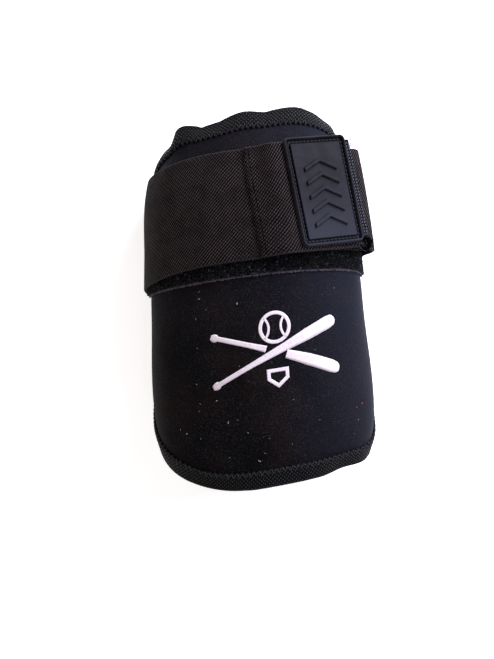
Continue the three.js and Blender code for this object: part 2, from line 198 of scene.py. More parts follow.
def cornerPower(angle):  # the four corners' powers, blended by the direction
    rightward = smooth((1 + math.sqrt(2) * np.cos(angle)) / 2)
    strapward = smooth((1 + math.sqrt(2) * np.sin(angle)) / 2)
    return mix(mix(*cornerPowers["elbow"], rightward), mix(*cornerPowers["strap"], rightward), strapward)


def outlineReach(angle):  # a superellipse in polar form
    power = cornerPower(angle)
    return (np.abs(np.cos(angle)) ** power + np.abs(np.sin(angle)) ** power) ** (-1 / power)


def outlineSlant(angle):  # a line to the middle against one straight in from the outline
    step = 0.01
    turn = (outlineReach(angle + step) - outlineReach(angle - step)) / (2 * step * outlineReach(angle))
    return np.hypot(1, turn)


def puckerAt(angle, name):  # the sum of smooth bumps along the edge
    total = np.zeros_like(np.asarray(angle, float))
    for at, spread, height in zip(edgePuckers["at"], edgePuckers["spread"], edgePuckers[name]):
        off = np.degrees(np.arctan2(np.sin(angle - math.radians(at)), np.cos(angle - math.radians(at))))
        total = total + height * pad["rippleHeight"] * smooth(1 - np.abs(off) / spread)
    return total


def placeOnPad(angle, depth, inward=1):  # across and along shares at a depth in from the outline
    edgeShare = smooth(1 - depth / pad["rippleReach"])
    inset = depth * outlineSlant(angle) - puckerAt(angle, "out") * edgeShare
    share = (outlineReach(angle) - inset / meanHalfSize) * inward
    return share * np.cos(angle), share * np.sin(angle)


def padFace(angle, depth, side, inward=1):  # the pad's outer or inner face, thinner towards its edge
    across, along = placeOnPad(angle, depth, inward)
    roll = (1 - np.clip(depth / pad["rollReach"], 0, 1)) ** 2
    pucker = puckerAt(angle, "up") * smooth(1 - depth / pad["rippleReach"])
    thinning = pad["thickness"] - pad["edgeThickness"]
    outer = -pad["outerRollShare"] * thinning * roll
    inner = -pad["thickness"] + (1 - pad["outerRollShare"]) * thinning * roll
    return raised(across, along, (outer if side == "outer" else inner) + pucker)


# The frame's own points are centred on their footprint, so the same rings give the way between the two
ringAngles = np.linspace(0, 2 * math.pi, 96, endpoint=False)[:, None]
ringDepths = np.array([[0.0, 4, 8, 12.5, 17]])
ownPoints = np.concatenate(
    [padFace(ringAngles, ringDepths, side).reshape(-1, 3) for side in ("outer", "inner")]
)
cadLow, cadHigh = (np.array(corner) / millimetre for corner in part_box("padded_panel"))
toFrame = (cadLow[:2] + cadHigh[:2] - ownPoints.min(0)[:2] - ownPoints.max(0)[:2]) / 2
toFrame = np.append(toFrame, cadLow[2] - ownPoints.min(0)[2])
print("scene: to the frame", np.round(toFrame, 3))


def newObject(name, data):
    made = bpy.data.objects.new(name, data)
    bpy.context.scene.collection.objects.link(made)
    return made


# Meshes. A part is its points, a list of face arrays, and a uv place for each point, or for each corner
# where the cloth closes on itself.
def makePiece(name, parts, material, standsFor=(), sharp=None):
    points = np.concatenate([part["points"].reshape(-1, 3) for part in parts])
    corners, sizes, places, start = [], [], [], 0
    for part in parts:
        count = part["points"].size // 3
        for faces in part["faces"]:
            corners.append(faces.ravel() + start)
            sizes.append(np.full(len(faces), faces.shape[1]))
            if "cornerUv" in part:
                places.append(part["cornerUv"])
            elif "uv" in part:
                places.append(part["uv"][faces.ravel()])
            else:
                places.append(np.zeros((faces.size, 2)))
        start += count
    corners, sizes, places = (np.concatenate(rows) for rows in (corners, sizes, places))
    mesh = bpy.data.meshes.new(name)
    mesh.vertices.add(len(points))
    mesh.vertices.foreach_set("co", ((points + toFrame) * millimetre).astype(np.float32).ravel())
    mesh.loops.add(len(corners))
    mesh.loops.foreach_set("vertex_index", corners.astype(np.int32))
    mesh.polygons.add(len(sizes))
    mesh.polygons.foreach_set("loop_start", (np.cumsum(sizes) - sizes).astype(np.int32))
    mesh.uv_layers.new(name="cloth").data.foreach_set("uv", (places * millimetre).astype(np.float32).ravel())
    mesh.update(calc_edges=True)
    mesh.validate()
    mesh.shade_smooth()
    if sharp is not None:
        mesh.set_sharp_from_angle(angle=math.radians(sharp))
    mesh.materials.append(material)
    piece = newObject(name, mesh)
    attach(piece, "root")
    if standsFor:
        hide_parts(*standsFor)
    return piece


def gridIndex(rows, columns, roundRows=False, roundColumns=False):
    # the numbers of a grid's points, with the first row or column again at the end where it closes
    index = np.arange(rows * columns).reshape(rows, columns)
    if roundRows:
        index = np.concatenate([index, index[:1]])
    if roundColumns:
        index = np.concatenate([index, index[:, :1]], axis=1)
    return index


def pairs(u, v):  # a uv place for each point of a grid, from its rows' and its columns' values
    return np.stack(np.broadcast_arrays(u, v), axis=-1)


def gridQuads(index):  # one quad for each cell, counterclockwise seen from the grid's outer side
    corners = (index[:-1, :-1], index[1:, :-1], index[1:, 1:], index[:-1, 1:])
    return np.stack(corners, axis=-1).reshape(-1, 4)


def rimOf(index):  # the grid's border, counterclockwise, back to its start
    return np.concatenate([index[:-1, 0], index[-1, :-1], index[:0:-1, -1], index[0, ::-1]])


def sheetPart(outer, inner, uv=None):  # two grids of the same size, joined round their borders
    top = gridIndex(*outer.shape[:2])
    under = top + top.size
    a, b = rimOf(top), rimOf(under)
    side = np.stack([a[:-1], b[:-1], b[1:], a[1:]], axis=-1)
    part = {"points": np.concatenate([outer.reshape(-1, 3), inner.reshape(-1, 3)])}
    part["faces"] = [np.concatenate([gridQuads(top), gridQuads(under)[:, ::-1], side])]
    if uv is not None:
        part["uv"] = np.concatenate([uv.reshape(-1, 2)] * 2)
    return part


def tubeFaces(rings, sides):  # circles of points joined in a row, and closed by a last point at each end
    index = gridIndex(rings, sides, roundColumns=True)
    firstEnd = np.full(sides, rings * sides)
    low = np.stack([index[0, :-1], firstEnd, index[0, 1:]], axis=-1)
    high = np.stack([index[-1, 1:], firstEnd + 1, index[-1, :-1]], axis=-1)
    return [faces[:, ::-1] for faces in (gridQuads(index), low, high)]


def capsules(starts, ends, ups, radius, arch=0.0, sides=6, rings=5, taper=0.6):
    # short threads: circles of points carried from start to end over a sine arch, thinner by the taper
    # at their ends. The radius and the arch may differ from thread to thread.
    count = len(starts)
    t = np.linspace(0, 1, rings)
    along = unit(ends - starts)
    over = unit(ups - np.sum(ups * along, -1, keepdims=True) * along)
    across = np.cross(along, over)
    radius = np.broadcast_to(np.asarray(radius, float), (count,))
    arch = np.broadcast_to(np.asarray(arch, float), (count,))
    middle = starts[:, None] + (ends - starts)[:, None] * t[None, :, None]
    middle = middle + over[:, None] * (arch[:, None] * np.sin(math.pi * t))[..., None]
    girth = radius[:, None] * (1 - taper + taper * np.sin(math.pi * np.clip(t, 0.12, 0.88)))[None]
    turn = np.linspace(0, 2 * math.pi, sides, endpoint=False)
    spoke = over[:, None, None] * np.cos(turn)[:, None] + across[:, None, None] * np.sin(turn)[:, None]
    circles = middle[:, :, None] + spoke * girth[:, :, None, None]
    points = np.concatenate([circles.reshape(count, -1, 3), starts[:, None], ends[:, None]], axis=1)
    shift = (np.arange(count) * points.shape[1])[:, None, None]
    faces = [(each[None] + shift).reshape(-1, each.shape[1]) for each in tubeFaces(rings, sides)]
    return {"points": points.reshape(-1, 3), "faces": faces}


def rowLengths(points):  # running length of a line of points, from 0
    steps = np.linalg.norm(np.diff(points, axis=0), axis=-1)
    return np.concatenate([[0], np.cumsum(steps)])


def evenly(points, spacing):  # points at even steps along a line, and the line's direction at each
    run = rowLengths(points)
    count = max(2, int(round(run[-1] / spacing)) + 1)
    at = np.linspace(0, run[-1], count)
    places = np.stack([np.interp(at, run, points[:, k]) for k in range(points.shape[1])], axis=-1)
    return places, unit(np.gradient(places, axis=0))


# Materials: a socket with the usual arithmetic
class Socket:
    def __init__(self, tree, socket=None):
        self.tree = tree
        self.socket = socket

    def node(self, kind, settings=None, inputs=None, output=0):
        made = self.tree.nodes.new("ShaderNode" + kind)
        for name, value in (settings or {}).items():
            setattr(made, name, value)
        for name, value in (inputs or {}).items():
            if isinstance(value, Socket):
                self.tree.links.new(value.socket, made.inputs[name])
            else:
                made.inputs[name].default_value = value
        return Socket(self.tree, made.outputs[output])

    def math(self, operation, *others):
        return self.node("Math", {"operation": operation}, dict(enumerate((self, *others))))

    def __add__(self, other):
        return self.math("ADD", other)

    __radd__ = __add__

    def __sub__(self, other):
        return self.math("SUBTRACT", other)

    def __rsub__(self, other):
        return self.node("Math", {"operation": "SUBTRACT"}, {0: other, 1: self})

    def __mul__(self, other):
        return self.math("MULTIPLY", other)

    __rmul__ = __mul__

    def wave(self):  # a cosine: 1 at each whole number and 0 halfway between
        return 0.5 + 0.5 * (self * (2 * math.pi)).math("COSINE")

    def over(self, low, high):  # smoothly from 0 at low to 1 at high, and held beyond them
        return self.node("MapRange", {"interpolation_type": "SMOOTHSTEP"}, {0: self, 1: low, 2: high})

    def noise(self, scale, detail=2.0, roughness=0.5):
        inputs = {"Vector": self, "Scale": scale, "Detail": detail, "Roughness": roughness}
        return self.node("TexNoise", None, inputs)

    def parts(self):
        return [self.node("SeparateXYZ", None, {0: self}, output) for output in range(3)]

    def bump(self, strength, distance):
        inputs = {"Strength": strength, "Distance": distance * millimetre, "Height": self}
        return self.node("Bump", None, inputs, "Normal")

    def tint(self, base, shade):  # base where this is 0, shade where it is 1
        base, shade = (tone if isinstance(tone, Socket) else (*tone, 1) for tone in (base, shade))
        return self.node("Mix", {"data_type": "RGBA"}, {0: self, 6: base, 7: shade}, 2)


def newMaterial(name, **constants):
    # a source for the nodes, and a function that feeds the shader's inputs and gives the material
    material = bpy.data.materials.new(name)
    material.use_nodes = True
    shader = material.node_tree.nodes["Principled BSDF"]
    for socket, value in constants.items():
        shader.inputs[socket.replace("_", " ")].default_value = value

    def feed(**inputs):
        for socket, value in inputs.items():
            material.node_tree.links.new(value.socket, shader.inputs[socket.replace("_", " ")])
        return material

    return Socket(material.node_tree), feed


def objectPlace(source):
    return source.node("TexCoord", output="Object")


def clothPlace(source):
    return source.node("UVMap", {"uv_map": "cloth"})


# Padded panel
def roundGrid(count):
    # a square grid drawn to directions and shares of the way out: the share is the larger of the two
    # sides, and the direction turns evenly along each side of the square
    line = np.linspace(-1, 1, count + 1)
    a, b = np.meshgrid(line, line, indexing="ij")
    share = np.maximum(np.abs(a), np.abs(b))
    sideways = np.abs(a) >= np.abs(b)
    over = np.where(sideways, a, b)
    over = np.where(np.abs(over) < 1e-9, 1.0, over)
    turn = np.where(sideways, b, -a) / over * math.pi / 4
    start = np.where(sideways, np.where(a < 0, math.pi, 0.0), np.where(b < 0, -math.pi / 2, math.pi / 2))
    return start + turn, share


def padGrid(count, side):
    angle, share = roundGrid(count)
    rollShare = 1 - pad["rollReach"] / meanHalfSize
    depth = np.minimum((1 - share) * meanHalfSize, pad["rollReach"])
    inward = np.where(share < rollShare, share / rollShare, 1.0)
    return padFace(angle, depth, side, inward), placeOnPad(angle, depth, inward), depth


def clothRelief(outer, inner, held):
    # how far each point of the closed form moves when it is blown up as cloth, with the held points fixed
    form = sheetPart(outer, inner)
    mesh = bpy.data.meshes.new("pad_form")
    mesh.from_pydata((form["points"] * millimetre).tolist(), [], form["faces"][0].tolist())
    blown = newObject("pad_form", mesh)
    group = blown.vertex_groups.new(name="held")
    levels = np.round(held * pad["heldLevels"]).astype(int)
    for level in range(1, pad["heldLevels"] + 1):
        group.add(np.flatnonzero(levels == level).tolist(), level / pad["heldLevels"], "REPLACE")
    cloth = blown.modifiers.new("cloth", "CLOTH")
    cloth.settings.quality = pad["clothQuality"]
    cloth.settings.use_pressure = True
    cloth.settings.uniform_pressure_force = pad["pressure"]
    cloth.settings.effector_weights.gravity = 0
    cloth.settings.vertex_group_mass = "held"
    cloth.collision_settings.use_collision = False
    for step in range(1, pad["clothFrames"] + 1):
        bpy.context.scene.frame_set(step)
    result = blown.evaluated_get(bpy.context.evaluated_depsgraph_get())
    moved = np.zeros(len(form["points"]) * 3, np.float32)
    result.data.vertices.foreach_get("co", moved)
    bpy.data.objects.remove(blown)
    bpy.context.scene.frame_set(1)
    return moved.reshape(-1, 3) / millimetre - form["points"]


def finer(coarse, count):
    # a coarse square grid's values at a finer grid's places, each by the cubic weights of the four rows
    # and the four columns around it
    last = coarse.shape[0] - 1
    at = np.linspace(0, last, count + 1)
    base = np.clip(np.floor(at).astype(int), 0, last - 1)
    t = at - base
    weights = np.zeros((count + 1, last + 1))
    terms = (
        (-t + 2 * t**2 - t**3) / 2,
        (2 - 5 * t**2 + 3 * t**3) / 2,
        (t + 4 * t**2 - 3 * t**3) / 2,
        (-(t**2) + t**3) / 2,
    )
    for offset, term in zip((-1, 0, 1, 2), terms):
        np.add.at(weights, (np.arange(count + 1), np.clip(base + offset, 0, last)), term)
    return np.einsum("ia,jb,abk->ijk", weights, weights, coarse)


# The tape and the loop strip hold the pad's cloth where they are sewn on
tape = {
    "thickness": 1.0,
    "reach": 8,
    "gap": 0.6,
    "scallop": 0.6,
    "scallopPitch": 3.0,
    "gather": 0.07,
    "gatherPitch": 3.4,
    "bendReach": 60,  # stations over which the bend is evened out
    "sharpBend": 0.03,  # turn per millimetre at which the gathers are full
    "angleCount": 1200,
    "rows": (1, 0.985, 0.94, 0.87, 0.78, 0.66, 0.53, 0.4, 0.26, 0.12, 0),  # shares of the reach
    "foldRows": 9,
    "foldPower": 0.8,  # squares the fold's half circle
    "weavePitch": 1.5,
    "stitchRadius": 0.34,
    "stitchWidth": 2.2,
    "loosening": 6,  # from held cloth to free cloth beside it
}
loopStrip = {
    "width": 56,
    "middle": 38.5,
    "lean": math.radians(-4),
    "thickness": 1.3,
    "halfGirth": 0.8,
    "loosening": 7,
    "acrossStep": 1.4,
    "stations": 150,
    "fuzzCount": 6100,
    "fuzzBand": 14,
    "fuzzSize": (0.5, 1.3),
    "fuzzRadius": (0.09, 0.17),
    "fuzzArch": (0.3, 0.85),
    "fibreCount": 900,
    "selvageWidth": 0.66,  # half of it
    "selvageStations": 700,
    "selvageSides": 10,
    "selvageWaves": 12,
    "selvageWaver": 0.07,
}


def loopMiddle(end):  # along the arm, the middle of the loop strip at a share of its way from end to end
    return loopStrip["middle"] + end * halfWidth * math.tan(loopStrip["lean"])


def heldShare(places, depth, side):
    # 1 under the tape and under the strip, and down to 0 in the loosening lengths
    across, along = places
    nearTape = smooth(1 - (depth - tape["reach"] - 1) / tape["loosening"])
    if side == "inner":
        return nearTape
    end = np.clip(across / loopStrip["halfGirth"], -1, 1)
    lower = loopMiddle(end) - loopStrip["width"] / 2
    nearStrip = smooth(1 - (lower - along * halfLength) / loopStrip["loosening"])
    return np.maximum(nearTape, nearStrip)


def unevenness(points):  # nine crossing cosine waves, 24 to 70 mm long, with fixed directions and phases
    waves = np.random.default_rng(7)
    total = np.zeros(points.shape[:-1])
    for _ in range(9):
        direction = unit(waves.normal(size=3))
        length = waves.uniform(24, 70)
        total += np.cos(points @ direction * 2 * math.pi / length + waves.uniform(0, 2 * math.pi))
    return total / 3


def padSurfaces():
    # the outer and inner faces: a coarse form is blown up as cloth, its movement is held to the puff
    # limit by a hyperbolic tangent and carried over to the fine grid, and slack waves are added
    fine = {}
    coarse = {side: padGrid(pad["clothGridCount"], side) for side in ("outer", "inner")}
    relief = {side: np.zeros_like(coarse[side][0]) for side in coarse}
    held = np.concatenate([heldShare(*coarse[side][1:], side).ravel() for side in ("outer", "inner")])
    moved = clothRelief(coarse["outer"][0], coarse["inner"][0], held)
    size = np.linalg.norm(moved, axis=-1, keepdims=True)
    print("scene: cloth moved", np.round([size.mean(), size.max()], 3))
    moved = moved * pad["puffLimit"] * np.tanh(size / pad["puffLimit"]) / np.maximum(size, 1e-9)
    half = len(moved) // 2
    for side, part in (("outer", moved[:half]), ("inner", moved[half:])):
        relief[side] = part.reshape(coarse[side][0].shape)
    for side in ("outer", "inner"):
        points, places, depth = padGrid(pad["gridCount"], side)
        points = points + finer(relief[side], pad["gridCount"])
        normal = skinNormal(*places)
        free = 1 - heldShare(places, depth, side)
        slack = pad["slackRelief"] * unevenness(points) * free
        fine[side] = points + normal * slack[..., None]
    return fine["outer"], fine["inner"]


def suede(name):
    # a short nap: grain under a millimetre wide, broad patches where the nap lies another way, a painted
    # highlight that makes the right side and the top paler and bluer, and dust
    black, warm = (0.0002, 0.0002, 0.0003), (0.0040, 0.0019, 0.0014)
    paintedLitBlue, grey, dusty = (0.0118, 0.0114, 0.0205), (0.0145, 0.0128, 0.0165), (0.05, 0.045, 0.055)
    source, feed = newMaterial(name, Sheen_Weight=0.05, Sheen_Roughness=0.35, Specular_IOR_Level=0.05)
    place = objectPlace(source)
    grain = place.noise(1500, 2, 0.6)
    nap = place.noise(900, 2, 0.6)
    blotch = place.noise(30, 3, 0.6)
    patches = place.noise(55, 3, 0.6).over(0.32, 0.62)
    dust = place.noise(1300, 1, 0.5).over(0.7, 0.76)
    colour = blotch.over(0.4, 0.66).tint(black, warm)
    x, y, _ = place.parts()
    # painted highlight: the right side and the top are tinted paler and bluer, as if lit by the lamps at the
    # right
    paintedRightLight = x.over(-0.005, 0.06) * 0.55 + y.over(-0.06, 0.06) * 0.2
    mottled = (grain * 0.8 + nap * 0.2).over(0.47, 0.66) * (0.35 + 0.55 * patches)
    colour = (paintedRightLight * (0.6 + 0.8 * grain)).tint(colour, paintedLitBlue)
    colour = mottled.tint(colour, grey)
    colour = (dust * 0.6).tint(colour, dusty)
    return feed(
        Base_Color=colour,
        Roughness=0.7 + 0.2 * grain,
        Normal=(grain * 0.7 + nap * 0.3).bump(0.7, 0.35),
    )


outerFace, innerFace = padSurfaces()
padForm = sheetPart(outerFace, innerFace)
padPiece = makePiece("pad", [padForm], suede("pad_suede"), ["padded_panel"])
print("scene: pad", len(padPiece.data.polygons))


# Edge tape
def tapeRun():  # arc length round the pad's edge at each of the tape's angles, back to the start
    angles = np.linspace(0, 2 * math.pi, tape["angleCount"] + 1)
    return angles, rowLengths(padFace(angles, np.zeros_like(angles), "outer"))


def cornerShare(angles, run):  # 1 where the edge bends, from its turn in plan per millimetre, evened out
    edge = padFace(angles, np.zeros_like(angles), "outer")
    heading = np.gradient(edge[:, :2], axis=0)
    bearing = np.unwrap(np.arctan2(heading[:, 0], heading[:, 1]))
    bend = np.abs(np.gradient(bearing, run))
    reach = tape["bendReach"]
    wrapped = np.concatenate([bend[-reach:], bend, bend[:reach]])
    evened = np.convolve(wrapped, np.ones(reach + 1) / (reach + 1), "same")[reach:-reach]
    return smooth(evened / tape["sharpBend"])


def tapeLayer(angles, run, rise, outward):
    # across the tape: in on the outer face, round the pad's edge on a squared half circle, and in on
    # the inner face, everywhere at one rise from the pad, and down to the pad at its two edges. It is
    # gathered in fine ripples at the corners and wanders a little all along.
    depthShare = np.array(tape["rows"])
    lap = 0.5 + 0.5 * np.cos(run * 2 * math.pi / tape["scallopPitch"])
    reach = tape["reach"] - tape["scallop"] * lap
    depth = reach[:, None] * depthShare[None]
    angle = angles[:, None] + np.zeros_like(depth)
    settle = smooth((1 - depthShare) / 0.2)
    gather = tape["gather"] * cornerShare(angles, run) * np.sin(run * 2 * math.pi / tape["gatherPitch"])
    wander = 0.12 * np.sin(run / 7.3) + 0.1 * np.sin(run / 3.1 + 1)
    ripple = (gather + wander)[:, None] * np.sin(math.pi * depthShare)[None]
    layers = []
    for side, sign in (("outer", 1), ("inner", -1)):
        normal = skinNormal(*placeOnPad(angle, depth))
        height = rise * mix(0.55, 1, settle)[None] + ripple
        layers.append(padFace(angle, depth, side) + sign * normal * height[..., None])
    zero = np.zeros_like(angles)
    edgeOuter, edgeInner = (padFace(angles, zero, side) for side in ("outer", "inner"))
    normal = skinNormal(*placeOnPad(angles, zero))
    step = 0.01
    ahead = padFace(angles + step, zero, "outer") - padFace(angles - step, zero, "outer")
    out = unit(np.cross(ahead, normal))
    turn = np.linspace(0, math.pi, tape["foldRows"] + 2)[1:-1]
    half = np.linalg.norm(edgeOuter - edgeInner, axis=-1)[:, None, None] / 2 + rise
    lift = np.sign(np.cos(turn)) * np.abs(np.cos(turn)) ** tape["foldPower"]
    push = np.sin(turn) ** tape["foldPower"]
    fold = ((edgeOuter + edgeInner) / 2)[:, None] + normal[:, None] * half * lift[:, None]
    fold = fold + out[:, None] * outward * push[:, None]
    return np.concatenate([layers[0], fold, layers[1][:, ::-1]], axis=1)


def tapePart():
    angles, run = tapeRun()
    rise = tape["gap"] + tape["thickness"]
    skin = tapeLayer(angles, run, rise, rise * 1.15)
    lining = tapeLayer(angles, run, tape["gap"] * 0.4, tape["gap"] * 0.4)
    loop = np.concatenate([skin, lining[:, ::-1]], axis=1)[:-1]
    rows, columns = loop.shape[:2]
    wide = rowLengths(skin[0])
    wide = np.concatenate([wide, wide[::-1], wide[:1]])
    uv = pairs(run[:, None], wide[None]).reshape(-1, 2)
    faces = gridQuads(gridIndex(rows, columns, True, True))[:, ::-1]
    places = gridQuads(gridIndex(rows + 1, columns + 1))[:, ::-1]
    return {"points": loop, "faces": [faces], "cornerUv": uv[places.ravel()]}


def tapeStitches():
    # a zigzag thread over the tape's inner edge: from the tape's middle out to the pad and back
    angles, run = tapeRun()
    count = int(run[-1] / (tape["scallopPitch"] / 2))
    at = (np.arange(count + 1) + 0.5) * run[-1] / (count + 1)
    angle = np.interp(at, run, angles)
    onPad = np.arange(count + 1) % 2 == 0
    depth = tape["reach"] - 0.2 + np.where(onPad, 0.35, -tape["stitchWidth"])
    depth = depth + rng.normal(0, 0.1, len(depth))
    lift = np.where(onPad, 0.35, tape["thickness"] + tape["gap"])
    normal = skinNormal(*placeOnPad(angle, depth))
    points = padFace(angle, depth, "outer") + normal * lift[:, None]
    return capsules(points[:-1], points[1:], normal[:-1], tape["stitchRadius"], arch=0.28)


def wovenTape(name):
    # a mesh of shiny floats with dark gaps: slanting ribs, broken along them by a crossing wave
    source, feed = newMaterial(name, Specular_IOR_Level=0.12)
    u, v, _ = clothPlace(source).parts()
    place = objectPlace(source)
    wander = place.noise(150, 2, 0.5)
    fuzz = place.noise(1500, 2, 0.6)
    rate = 0.75 / (tape["weavePitch"] * millimetre)
    ribs = (u * rate + v * rate + wander * 0.8).wave()
    breaks = (u * rate - v * rate).wave()
    mesh = (ribs * 0.55 + breaks * 0.55).over(0.62, 0.98)
    shine = mesh * (0.55 + 0.7 * fuzz)
    colour = shine.tint((0.0001, 0.0001, 0.0001), (0.028, 0.025, 0.027))
    return feed(
        Base_Color=colour,
        Roughness=0.85 - 0.42 * mesh + 0.1 * fuzz,
        Normal=(mesh + fuzz * 0.25).bump(1.0, 0.45),
    )


def threadMaterial(name, colour, roughness=0.45, shine=0.15):
    source, feed = newMaterial(name, Specular_IOR_Level=shine)
    fuzz = objectPlace(source).noise(2400, 2, 0.6)
    low, high = (tuple(part * share for part in colour) for share in (0.6, 1.5))
    return feed(
        Base_Color=fuzz.tint(low, high),
        Roughness=roughness + 0.3 * fuzz,
        Normal=fuzz.bump(0.5, 0.12),
    )


tapePiece = makePiece("tape", [tapePart()], wovenTape("tape_weave"), ["edge_tape"])
blackThread = threadMaterial("black_thread", (0.011, 0.010, 0.0115))
tapeThread = makePiece("tape_thread", [tapeStitches()], blackThread)
print("scene: tape", len(tapePiece.data.polygons), len(tapeThread.data.polygons))


# Strap and hook tab: the route over the front, and the plane under the patch
strap = {
    "width": 60,
    "thickness": 1.8,
    "middle": 47.5,
    "lean": math.radians(0.3),
    "bow": 1.9,
    "bowAt": -36,  # round the girth from the crown
    "bowReach": 48,
    "tangentAt": 38.5,  # where the flat free end touches the pad's curve
    "freeEnd": 63.4,
    "patchEdge": 19.7,
    "flatBlend": 16,
    "sewnOverlap": 5,
    "sewnBulge": 6,
    "sewnNarrowing": 0.055,
    "sewnDrop": 1.8,
    "sideTurnShare": 0.84,
    "turnReach": 16,
    "turnFullness": 0.85,
    "seamFromTab": 0.9,
    "seamLean": math.radians(5.6),
    "seamStep": 1.1,
    "acrossStep": 1.2,
    "sewnStations": 30,
    "turnStations": 36,
    "frontStations": 150,
    "twillSlope": math.radians(47),
    "twillPitch": 1.32,
}
hookTab = {
    "thickness": 1.2,
    "start": -0.5,  # round the girth from the crown, as is the end
    "end": 65.0,
    "fromSeam": 1.0,
    "width": 56,
    "acrossStep": 1.4,
    "skew": math.radians(3),
}
fabricGap = 0.45
loopRise = fabricGap
strapOnLoopRise = loopRise + loopStrip["thickness"] + fabricGap
tabRise = strapOnLoopRise
strapOnTabRise = tabRise + hookTab["thickness"] + fabricGap
freeEndTop = strapOnTabRise + strap["thickness"]
freeEnd = strap["freeEnd"]
sewnStart = freeEnd - strap["sewnOverlap"]
flatFrom = strap["patchEdge"] - 1
sideTurn = strap["sideTurnShare"] * halfGirth


def strapLine(distance):  # the middle of the strap along the arm, bowed a little at the left
    share = sectionPoint(np.minimum(halfGirth, np.abs(distance)))[0]
    bow = strap["bow"] * smooth(1 - np.abs(np.asarray(distance) - strap["bowAt"]) / strap["bowReach"])
    return strap["middle"] + np.sign(distance) * share * halfWidth * math.tan(strap["lean"]) + bow


def freeEndPlane():
    across, along = strap["tangentAt"] / halfGirth, strapLine(strap["tangentAt"]) / halfLength
    normal = skinNormal(across, along)
    girthward = roundward(across, along)
    girthward = unit(girthward - normal * (girthward @ normal))
    right = unit(girthward + np.cross(normal, girthward) * math.tan(strap["lean"]))
    return skinPoint(across, along), right, unit(np.cross(normal, right)), normal


planeOrigin, planeRight, planeUp, planeNormal = freeEndPlane()


def onPlane(right, up, rise):  # a place in the patch's plane, and a rise off it
    right, up, rise = (np.asarray(value, float)[..., None] for value in (right, up, rise))
    return planeOrigin + planeRight * right + planeUp * up + planeNormal * rise


def frontPoint(distance, w, rise):  # on the pad's curve, and near the free end in the patch's plane
    distance, w, rise = np.broadcast_arrays(distance, w, rise)
    curved = raised(distance / halfGirth, (strapLine(distance) + w) / halfLength, rise)
    flat = onPlane(distance - strap["tangentAt"], w, rise)
    share = smooth((distance - flatFrom) / strap["flatBlend"] + 1)
    return mix(curved, flat, share[..., None])


def seamDistance(w):  # where the strap steps up onto the tab
    return hookTab["start"] + strap["seamFromTab"] - w * math.tan(strap["seamLean"])


def strapRise(distance, w):
    step = smooth((distance - seamDistance(w)) / strap["seamStep"] + 0.5)
    return mix(strapOnLoopRise, strapOnTabRise, step)


def sideTurnPoint(side, t, w, thickness):
    # from the pad's side down to the table on a cubic curve with two handles, and off it by the thickness
    t, w, thickness = np.broadcast_arrays(t, w, thickness)
    along = (strapLine(side * sideTurn) + w) / halfLength
    across = side * sideTurn / halfGirth
    start = raised(across, along, np.full(w.shape, strapOnLoopRise + strap["thickness"] / 2))
    down = unit(roundward(across, along) * side * (1, 0, 1))
    table = strap["thickness"] / 2
    corner = start + down * ((start[..., 2:] - table) / -down[..., 2:])
    end = corner - np.array([side * strap["turnReach"], 0, 0])
    first = mix(start, corner, strap["turnFullness"])
    second = mix(end, corner, strap["turnFullness"])
    t = t[..., None]
    place = (1 - t) ** 3 * start + 3 * t * (1 - t) ** 2 * first + 3 * t**2 * (1 - t) * second + t**3 * end
    tangent = (1 - t) ** 2 * (first - start) + 2 * t * (1 - t) * (second - first) + t**2 * (end - second)
    level = np.zeros_like(tangent[..., 0])
    normal = unit(np.stack([-tangent[..., 2], level, tangent[..., 0]], axis=-1)) * side
    return place + normal * thickness[..., None]


def acrossStrap(width, step, edge=0.9):  # places across a strap, closer at its two rounded edges
    half = width / 2
    flat = np.linspace(-(half - edge), half - edge, int((width - 2 * edge) / step) + 1)
    rounded = half - edge * np.array([0.55, 0.2, 0.05, 0])
    places = np.concatenate([-rounded[::-1], flat, rounded])
    inside = np.clip((half - np.abs(places)) / edge, 0, 1)
    return places, np.sqrt(np.maximum(0.06, 1 - (1 - inside) ** 2))


def strapStations():
    # the strap's faces from its sewn end, down the right side, under the guard, up the left side and over
    # the front, with the running length and the places across
    half = strap["thickness"] / 2
    w, fullness = acrossStrap(strap["width"], strap["acrossStep"])

    def sewn(distance, side):
        share = (distance - sewnStart) / (sideTurn - sewnStart)
        bulge = strap["sewnBulge"] * np.sin(math.pi * np.clip(share, 0, 1)) ** 2
        slack = 1 - smooth((share - 0.55) / 0.45)
        across = w * (1 - strap["sewnNarrowing"] * slack) - strap["sewnDrop"] * slack
        along = (strapLine(distance) + across) / halfLength
        return raised(distance / halfGirth, along, strapOnLoopRise + half + bulge + side * half * fullness)

    def front(distance, side):
        ends = np.clip((freeEnd - distance) / 0.8, 0.12, 1)
        rounding = np.sqrt(1 - (1 - ends) ** 2 * 0.9)
        height = strapRise(distance, w[None]) + half
        return frontPoint(distance, w[None], height + side * half * fullness * rounding)

    sewnAt = np.linspace(sewnStart, sideTurn, strap["sewnStations"])[:-1, None]
    turnAt = np.linspace(0, 1, strap["turnStations"])[:, None]
    frontAt = np.linspace(-sideTurn, freeEnd - 1.2, strap["frontStations"])[1:]
    frontAt = np.concatenate([frontAt, freeEnd - np.array([0.8, 0.45, 0.2, 0.06, 0])])[:, None]

    def face(side):
        thickness = side * half * fullness[None]
        return np.concatenate([
            sewn(sewnAt, side),
            sideTurnPoint(1, turnAt, w[None], thickness),
            sideTurnPoint(-1, turnAt[::-1], w[None], thickness),
            front(frontAt, side),
        ])

    outer, inner = face(1), face(-1)
    run = rowLengths(outer[:, len(w) // 2])
    return outer, inner, run, w


